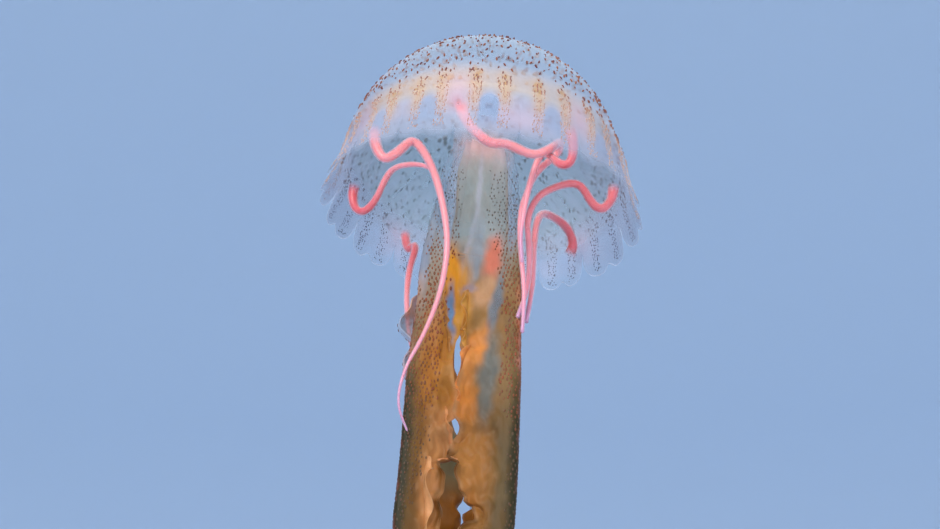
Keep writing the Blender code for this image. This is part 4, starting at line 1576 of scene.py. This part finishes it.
@dataclass(frozen=True)
class ArmWarts:
    """Nettle warts of one face of the arms: oval and flat, close-set along the outer keels.

    They stand in rows a step apart, with a gap between neighbours in a row. Rows reach from left_start or
    right_start, shares round the section by depth, to end_turn. The probes are the small steps, down and
    round the section, by which the slope of the arm is felt.
    """

    name: str
    face: Face
    step: float
    gap: float
    arms: OralArms = OralArms()
    left_start: tuple = ((70.0, 0.165), (92.0, 0.191), (116.0, 0.221))
    right_start: tuple = ((15.0, 0.17), (50.0, 0.206), (72.0, 0.206), (96.0, 0.236))
    end_turn: float = 0.45
    first_depth: float = 1.0
    bare_tip: float = 3.0
    depth_probe: float = 0.1
    turn_probe: float = 0.01
    seed: int = 19

    def places(self, arm: Arm, dice: np.random.Generator) -> tuple[Array, Array]:
        """Places of one arm's warts.

        Args:
            arm: The arm.
            dice: Source of the scatter.

        Returns:
            The shares round the section and the depths below the ring.
        """
        turns, depths = [], []
        start = self.left_start if arm.side is Side.LEFT else self.right_start
        for row, depth in enumerate(np.arange(self.first_depth, arm.end - self.bare_tip, self.step)):
            grid = np.linspace(float(smooth_table(start, depth)), self.end_turn, 40)
            points, across, _ = self.arms.surface(arm, grid, np.full(len(grid), depth))
            run = run_along(points)
            spots = np.arange(self.gap * (0.3 + 0.5 * (row % 2)), run[-1], self.gap)
            spots = spots + dice.normal(0.0, 0.16, len(spots))
            crowd = (0.62 + 0.34 * float(ease(10.0, 40.0, depth))) * (0.35 + 0.65 * ease(0.0, 3.0, spots))
            if arm.side is Side.LEFT:
                outside = ease(0.79, 0.85, np.interp(spots, run, across))
                crowd = crowd * (1.0 - 0.95 * outside * float(hump(37.0, 12.0, depth)))
            spots = spots[dice.random(len(spots)) < crowd]
            turns.append(np.interp(spots, run, grid))
            depths.append(depth + dice.normal(0.0, 0.22, len(spots)))
        return np.concatenate(turns), np.concatenate(depths)

    def build(self) -> Object:
        """Make all the warts of this face as one piece.

        Returns:
            The piece.
        """
        dice = np.random.default_rng(self.seed + self.face)
        places, normals, downs, depths, unwrap = [], [], [], [], []
        for number, arm in enumerate(self.arms.arms):
            if arm.face is not self.face:
                continue
            turn, depth = self.places(arm, dice)
            here = self.arms.surface(arm, turn, depth)[0]
            down = self.arms.surface(arm, turn, depth + self.depth_probe)[0] - here
            side = self.arms.surface(arm, turn + self.turn_probe, depth)[0] - here
            places.append(here)
            normals.append(np.cross(down, side))
            downs.append(down)
            depths.append(depth)
            unwrap.append(np.stack([(number + 0.1 + 0.8 * turn) / 4.0, depth / 200.0], axis=1))
        places, normals, downs, unwrap = (np.concatenate(rows) for rows in (places, normals, downs, unwrap))
        depth = np.concatenate(depths)
        outward = places - np.stack([*self.arms.centre(depth), -depth], axis=1)
        normals *= np.sign(np.sum(normals * outward, axis=1))[:, None]
        count = len(places)
        deep = ease(24.0, 60.0, depth)
        far = ease(70.0, 100.0, depth)
        length = dice.uniform(0.32, 0.46, count) + deep * dice.uniform(0.02, 0.24, count)
        length *= 1.0 + 0.25 * hump(42.0, 22.0, depth) - 0.12 * far
        sizes = np.stack([length, length * (0.48 + 0.06 * deep), length * 0.22], axis=1)
        glow = dice.random(count)[:, None]
        deep, far = ease(16.0, 36.0, depth)[:, None], far[:, None]
        foot = blend(blend(shade(90, 84, 78), shade(92, 50, 22), deep), shade(50, 42, 24), far)
        bright = blend(shade(146, 66, 24), shade(108, 62, 26), glow)
        dull = blend(shade(104, 58, 26), shade(82, 62, 32), glow)
        top = blend(blend(shade(72, 60, 52), bright, deep), dull, far)
        field = WartField(self.name, segments=6, rings=4)
        warts = field.build(places, normals, downs, sizes, (foot, top), unwrap)
        return settle(warts, WART_FINISH.build(), Slot.ARM)


# ---------------------------------------------------------------- tentacles

@dataclass(frozen=True)
class Tentacle:
    """A stinging tentacle along points of azimuth, radius and height.

    nodes is how many CAD lengths it stands for, and tip and root_radius are its radii. blush is how red it
    is near its root, which is partly the flesh's own red and partly painted shade; blush_end is how far
    along the red has faded, and lilac is the share of the length at which its pale end begins. easing is
    how many times its line is softened.
    """

    name: str
    route: tuple[tuple[float, float, float], ...]
    nodes: int
    tip: float
    blush: float
    blush_end: float = 34.0
    root_radius: float = 1.65
    lilac: float = 0.72
    easing: int = 24
    step: float = 0.6
    sides: int = 18
    core_share: float = 0.8

    def line(self) -> Array:
        """Evenly spaced points of the tentacle's smooth centre line."""
        return even_line(around(*np.array(self.route).T), self.step, self.easing)

    def layer(self, name: str, line: Array, swell: float, sheath: bool) -> Object:
        """One closed tube along the line.

        Args:
            name: Name of the tube.
            line: The centre line.
            swell: The tube's radius as a share of the tentacle's.
            sheath: True for the clear outer skin, False for the red core.

        Returns:
            The tube.
        """
        ahead = unit(np.gradient(line, axis=0))
        normals = [np.cross(ahead[0], (0.3, 0.2, 1.0))]
        for direction in ahead:
            normals.append(unit(normals[-1] - direction * np.dot(normals[-1], direction)))
        normals = np.array(normals[1:])
        others = np.cross(ahead, normals)
        length = run_along(line)[-1]

        def rule(across: Array, along: Array) -> tuple[Array, Paint]:
            """Wrap the grid round the centre line, wrinkled and rounded off at both ends.

            Args:
                across: Shares round the tube.
                along: Shares along the line.

            Returns:
                The points and their paint.
            """
            index = np.rint(along * (len(line) - 1)).astype(int)
            run = along * length
            radius = self.tip + (self.root_radius - self.tip) * (1.0 - along ** 0.75)
            radius = radius * (1.0 + 0.35 * np.exp(-run / 3.0))
            wrinkle = 0.012 * np.sin(2.0 * np.pi * run / 1.3)
            wrinkle = wrinkle + 0.03 * np.sin(2.0 * np.pi * run / 11.0 + self.tip * 9.0)
            radius = radius * swell * (1.0 + wrinkle)
            ends = np.minimum(run, (length - run) / radius)
            radius = radius * np.sqrt(1.0 - (1.0 - np.clip(ends, 0.0, 1.0)) ** 2)
            a = 2.0 * np.pi * across
            points = (line[index] + normals[index] * (radius * np.cos(a))[:, None]
                      + others[index] * (radius * np.sin(a))[:, None])
            return points, self.flesh(run, length, sheath)
        return wrapped_sheet(name, self.sides, len(line) - 1, rule)

    def flesh(self, run: Array, length: float, sheath: bool) -> Paint:
        """Colour along the tentacle: red near its root, coral, then pale lilac pink at its thin end.

        The red near the root is partly the flesh's own colour and partly painted shade.

        Args:
            run: Distance from the root.
            length: The tentacle's length.
            sheath: True for the clear outer skin.

        Returns:
            The paint.
        """
        fade = ease(1.0, 5.5, run)
        red = self.blush * (1.0 - ease(0.35 * self.blush_end, self.blush_end, run))
        if sheath:
            paint = Paint(len(run), shade(255, 206, 210), 0.22)
            paint.haze *= fade * (1.0 - 0.5 * red)
            return paint
        paint = Paint(len(run), shade(255, 142, 140), 1.0)
        paint.lay(ease(0.3, 0.8, run / length), shade(250, 138, 148))
        paint.lay(ease(self.lilac, 1.0, run / length), shade(198, 134, 176))
        # Red near the root: partly the flesh's own red, partly painted shade.
        paint.lay(red, shade(216, 52, 64))
        paint.haze *= fade
        return paint

    def build(self, material: bpy.types.Material) -> Object:
        """Make the tentacle's core and clear skin as one piece.

        Args:
            material: The flesh of all tentacles.

        Returns:
            The piece.
        """
        line = self.line()
        skin = self.layer(f"tentacle_{self.name}_sheath", line, 1.0, True)
        core = self.layer(f"tentacle_{self.name}_core", line, self.core_share, False)
        piece = join(f"tentacle_{self.name}_skin", [core, skin])
        nodes = [f"tentacle_{self.name}_{number}" for number in range(1, self.nodes + 1)]
        return settle(piece, material, Slot.TENTACLE, *nodes)


TENTACLES = (
    Tentacle("front_left", ((-53, 41.4, 0.0), (-52, 42.2, -5), (-49, 41.4, -11), (-46, 39.5, -13.8),
                            (-42, 36.5, -9.3), (-40, 34, -5), (-36, 30.8, -7.8), (-32, 26, -14.4),
                            (-27, 21.5, -26), (-23, 20, -38), (-25, 20, -53), (-33, 21.6, -67),
                            (-39, 23.3, -75), (-42, 24, -82.5), (-43, 23, -88.5), (-40, 19.5, -94.5)),
             nodes=3, tip=0.32, blush=0.2, root_radius=2.0),
    Tentacle("front", ((-11.4, 41.4, 1.4), (-11.3, 41.3, 0.7), (-10, 39.1, -3.6), (-5, 37.1, -7.6),
                       (3, 35.5, -10.6), (10, 34.5, -9), (18, 33.7, -9.5), (26, 34, -9.7), (33, 35.6, -6.4),
                       (41, 34.2, -0.2), (46, 30.7, -1), (44, 28.7, -3.6), (42, 26.2, -5.7),
                       (39, 23.9, -9.4), (38, 22.1, -15), (36, 21.1, -22), (38, 21.7, -34.5),
                       (44, 22.2, -47), (47, 21.8, -61)),
             nodes=3, tip=0.6, blush=0.1, root_radius=2.0, lilac=0.86),
    Tentacle("front_right", ((36, 41.4, 0.0), (37, 42.2, -5), (38, 42.2, -9), (38, 41, -13),
                             (36, 38.5, -12.8), (36, 35.2, -9), (35.5, 31, -4.6), (35, 28.4, -5.6),
                             (34, 26.9, -10), (33, 25.8, -16), (32, 25, -25), (32, 24.6, -33),
                             (35, 24.7, -41)),
             nodes=2, tip=0.5, blush=0.9, root_radius=2.0),
    Tentacle("right", ((79, 41.2, -0.5), (79, 40.8, -6.6), (76, 38.4, -12), (74, 35.3, -10.6),
                       (70, 32.4, -5.7), (66, 29.2, -5.3), (59, 25.2, -8.5), (52, 22.6, -12.2),
                       (48, 20.8, -17.2), (48, 19.8, -23), (53, 20.2, -32), (54, 20.2, -44.5),
                       (44, 20.4, -56)),
             nodes=2, tip=0.7, blush=0.7, blush_end=60.0, root_radius=1.9, lilac=0.86),
    Tentacle("back_right", ((135, 41.4, -6.5), (131, 41, -2.3), (128, 36, 0.9), (124, 28.7, 0.4),
                            (115, 21.8, -2.9), (100, 18.2, -9.6), (90, 17.4, -17.7), (80, 17.8, -28.7),
                            (67, 19.4, -41), (54, 20.8, -56)),
             nodes=2, tip=0.7, blush=0.8, blush_end=60.0, root_radius=1.95, lilac=0.86),
    Tentacle("back", ((175, 41.2, 0.0), (174, 40, -6), (172, 36.5, -9.5), (172, 32.8, -7), (172, 29.6, -2),
                      (172, 27.6, -6), (172, 28, -14), (171, 31, -26), (172, 34.5, -40),
                      (173, 37.5, -54)),
             nodes=2, tip=0.55, blush=0.8),
    Tentacle("back_left", ((-141, 41.2, 0.5), (-140.5, 39.5, -4), (-140, 36.5, -9.5), (-140, 33.4, -9),
                           (-138, 31.2, -13), (-136, 31.2, -20), (-134, 29.5, -32), (-136, 26.4, -48),
                           (-142, 23, -58), (-152, 21, -68)),
             nodes=2, tip=0.4, blush=0.8, blush_end=44.0, root_radius=1.9),
    Tentacle("left", ((-96, 41.4, 0.0), (-98, 42, -5), (-98, 40.3, -10), (-96, 36.8, -12),
                      (-92, 33.4, -9), (-86, 31.3, -4), (-80, 29.4, -1.4), (-70, 26.4, -1.9),
                      (-55, 22.4, -4.2), (-42.5, 20.4, -9.5), (-35.5, 19.4, -20.5)),
             nodes=2, tip=0.5, blush=0.9, root_radius=1.9),
)


# ---------------------------------------------------------------- stand

@dataclass(frozen=True)
class Stand:
    """The display stand: an acrylic disc, and a steel rod between a turned collar and a pad.

    Lengths here are in metres. rim and edge are the widths of the rounded edges of the disc and of the
    steel, and collar_top is the collar's top as a share of its foot. Edges sharper than bevel_from are
    rounded, and faces that meet at less than smooth_below are shaded as one. screw_depth is the place of
    the screw's middle, as a share of the collar from front to back.
    """

    rim: float = 0.0016
    edge: float = 0.0003
    bevel_steps: int = 4
    bevel_from: float = 40.0
    smooth_below: float = 50.0
    collar_top: float = 0.6
    screw_radius: float = 0.0013
    screw_length: float = 0.002
    screw_depth: float = 0.1

    def turned(self, name: str, sides: int, top: float, bevel: float) -> Object:
        """Round piece that fills a node's box.

        Args:
            name: The node's name.
            sides: Faces round the piece.
            top: Radius of its top as a share of the radius at its foot.
            bevel: Width of its rounded edges.

        Returns:
            The piece, with its place in its mesh.
        """
        low, high = (np.array(corner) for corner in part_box(name))
        radius = (high[0] - low[0]) / 2.0
        piece = add_primitive(bpy.ops.mesh.primitive_cone_add, vertices=sides, radius1=radius,
                              radius2=radius * top, depth=high[2] - low[2], location=(low + high) / 2.0)
        bpy.ops.object.transform_apply(location=True)
        rounded = piece.modifiers.new("rounded edges", "BEVEL")
        rounded.width, rounded.segments = bevel, self.bevel_steps
        rounded.angle_limit = math.radians(self.bevel_from)
        bpy.ops.object.modifier_apply(modifier=rounded.name)
        bpy.ops.object.shade_smooth_by_angle(angle=math.radians(self.smooth_below))
        piece.name = f"{name}_turned"
        return piece

    def set_screw(self) -> Object:
        """Small plain set screw in the front of the collar.

        Returns:
            The screw.
        """
        low, high = (np.array(corner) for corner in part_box("stand_collar"))
        middle = (low + high) / 2.0
        place = (middle[0], low[1] + (high[1] - low[1]) * self.screw_depth, middle[2])
        screw = add_primitive(bpy.ops.mesh.primitive_cylinder_add, vertices=24, radius=self.screw_radius,
                              depth=self.screw_length, location=place, rotation=(math.pi / 2.0, 0.0, 0.0))
        bpy.ops.object.transform_apply(location=True, rotation=True)
        bpy.ops.object.shade_smooth_by_angle(angle=math.radians(self.smooth_below))
        screw.name = "stand_screw"
        return screw

    def build(self) -> None:
        """Make the stand's pieces in place of its nodes."""
        disc = self.turned("stand_base", 160, 1.0, self.rim)
        settle(disc, ACRYLIC_FINISH.build(), Slot.BASE, "stand_base")
        steel = STEEL_FINISH.build()
        for name, sides, top in (("stand_collar", 96, self.collar_top), ("stand_rod", 48, 1.0),
                                 ("stand_pad", 80, 1.0)):
            settle(self.turned(name, sides, top, self.edge), steel, Slot.STEEL, name)
        settle(self.set_screw(), steel, Slot.STEEL)


# ---------------------------------------------------------------- studio

@dataclass(frozen=True)
class Lamp:
    """A large soft lamp, with its place and width in metres and its power in watts."""

    name: str
    place: tuple[float, float, float]
    power: float
    width: float
    colour: tuple[float, float, float]

    def hang(self, aim: Array) -> None:
        """Hang the lamp and turn it towards a point.

        Args:
            aim: The point.
        """
        light = bpy.data.lights.new(self.name, "AREA")
        light.energy, light.size, light.color = self.power, self.width, self.colour
        lamp = add_object(self.name, light)
        lamp.location = self.place
        x, y, z = aim - np.array(self.place)
        lamp.rotation_euler = Euler((math.atan2(math.hypot(x, y), -z), 0.0, math.atan2(-x, y)))


@dataclass(frozen=True)
class Studio:
    """Pale round cove, soft lamps and the camera. Lengths here are in metres."""

    cove_radius: float = 2.2
    cove_height: float = 3.4
    cove_sweep: float = 0.8
    cove_steps: int = 8
    cove_colour: tuple[float, float, float] = (200, 217, 236)
    sky_colour: tuple[float, float, float] = (0.86, 0.92, 1.0)
    lamps: tuple[Lamp, ...] = (Lamp("key_lamp", (-0.45, -0.95, 0.75), 13.5, 0.75, (1.0, 0.97, 0.94)),
                               Lamp("fill_lamp", (0.8, -0.7, 0.1), 5.5, 0.9, (0.97, 0.98, 1.0)),
                               Lamp("back_lamp", (0.2, 1.1, 1.1), 6.0, 1.5, (0.93, 0.97, 1.0)))
    lamp_aim: tuple[float, float, float] = (0.0, 0.0, 0.16)
    camera_offset: tuple[float, float, float] = (-0.0044, -0.3803, -0.1656)
    camera_pitch: float = 110.0
    camera_reach: tuple[float, float] = (0.01, 20.0)
    lens: float = 50.0
    clear_layers: int = 40

    def lay_cove(self) -> None:
        """Floor that sweeps up into a wall all round."""
        cove = add_primitive(bpy.ops.mesh.primitive_circle_add, vertices=96, radius=self.cove_radius,
                             fill_type="NGON")
        cove.name = "studio_cove"
        edit_all()
        turns = [math.pi / 2.0 * step / self.cove_steps for step in range(self.cove_steps + 1)]
        radii = [self.cove_radius + self.cove_sweep * math.sin(turn) for turn in turns]
        heights = [self.cove_sweep * (1.0 - math.cos(turn)) for turn in turns]
        for before, grown, low, high in zip(radii, radii[1:], heights, heights[1:]):
            bpy.ops.mesh.extrude_region_move(TRANSFORM_OT_translate={"value": (0.0, 0.0, high - low)})
            bpy.ops.transform.resize(value=(grown / before, grown / before, 1.0))
        bpy.ops.mesh.extrude_region_move(TRANSFORM_OT_translate={"value": (0.0, 0.0, self.cove_height)})
        bpy.ops.mesh.delete(type="ONLY_FACE")
        bpy.ops.object.mode_set(mode="OBJECT")
        bpy.ops.object.shade_smooth()
        material, _, shader = new_material("studio_paint")
        set_inputs(shader, {"Base Color": (*shade(*self.cove_colour), 1.0), "Roughness": 0.9})
        cove.data.materials.append(material)

    def hang_lamps(self) -> None:
        """Large soft lamps and an even sky."""
        for lamp in self.lamps:
            lamp.hang(np.array(self.lamp_aim))
        world = bpy.data.worlds.new("studio_air")
        bpy.context.scene.world = world
        world.use_nodes = True
        set_inputs(world.node_tree.nodes["Background"], {"Color": (*self.sky_colour, 1.0), "Strength": 1.0})

    def place_camera(self) -> None:
        """Camera below the bell, looking up at it."""
        data = bpy.data.cameras.new("camera")
        data.lens = self.lens
        camera = add_object("camera", data)
        camera.location = np.array(RING_CENTRE) * MM + np.array(self.camera_offset)
        camera.rotation_euler = (math.radians(self.camera_pitch), 0.0, 0.0)
        data.clip_start, data.clip_end = self.camera_reach
        bpy.context.scene.camera = camera

    def build(self) -> None:
        """Set up the stage, and let light pass through many layers of clear flesh."""
        self.lay_cove()
        self.hang_lamps()
        self.place_camera()
        scene = bpy.context.scene
        scene.view_settings.view_transform = "Standard"
        scene.cycles.transparent_max_bounces = self.clear_layers


def main() -> None:
    """Build the model's looks round the frame, in order."""
    logging.basicConfig(level=logging.INFO, format="%(name)s: %(message)s")
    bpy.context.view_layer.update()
    Studio().build()
    Bell().build()
    BellWarts().build()
    arms = OralArms()
    arms.build()
    build_frills(arms)
    ArmWarts("front_arm_warts", Face.FRONT, step=1.3, gap=1.12).build()
    ArmWarts("back_arm_warts", Face.BACK, step=1.6, gap=1.4).build()
    flesh = TENTACLE_FINISH.build()
    for tentacle in TENTACLES:
        tentacle.build(flesh)
    Stand().build()


if __name__ == "__main__":
    main()
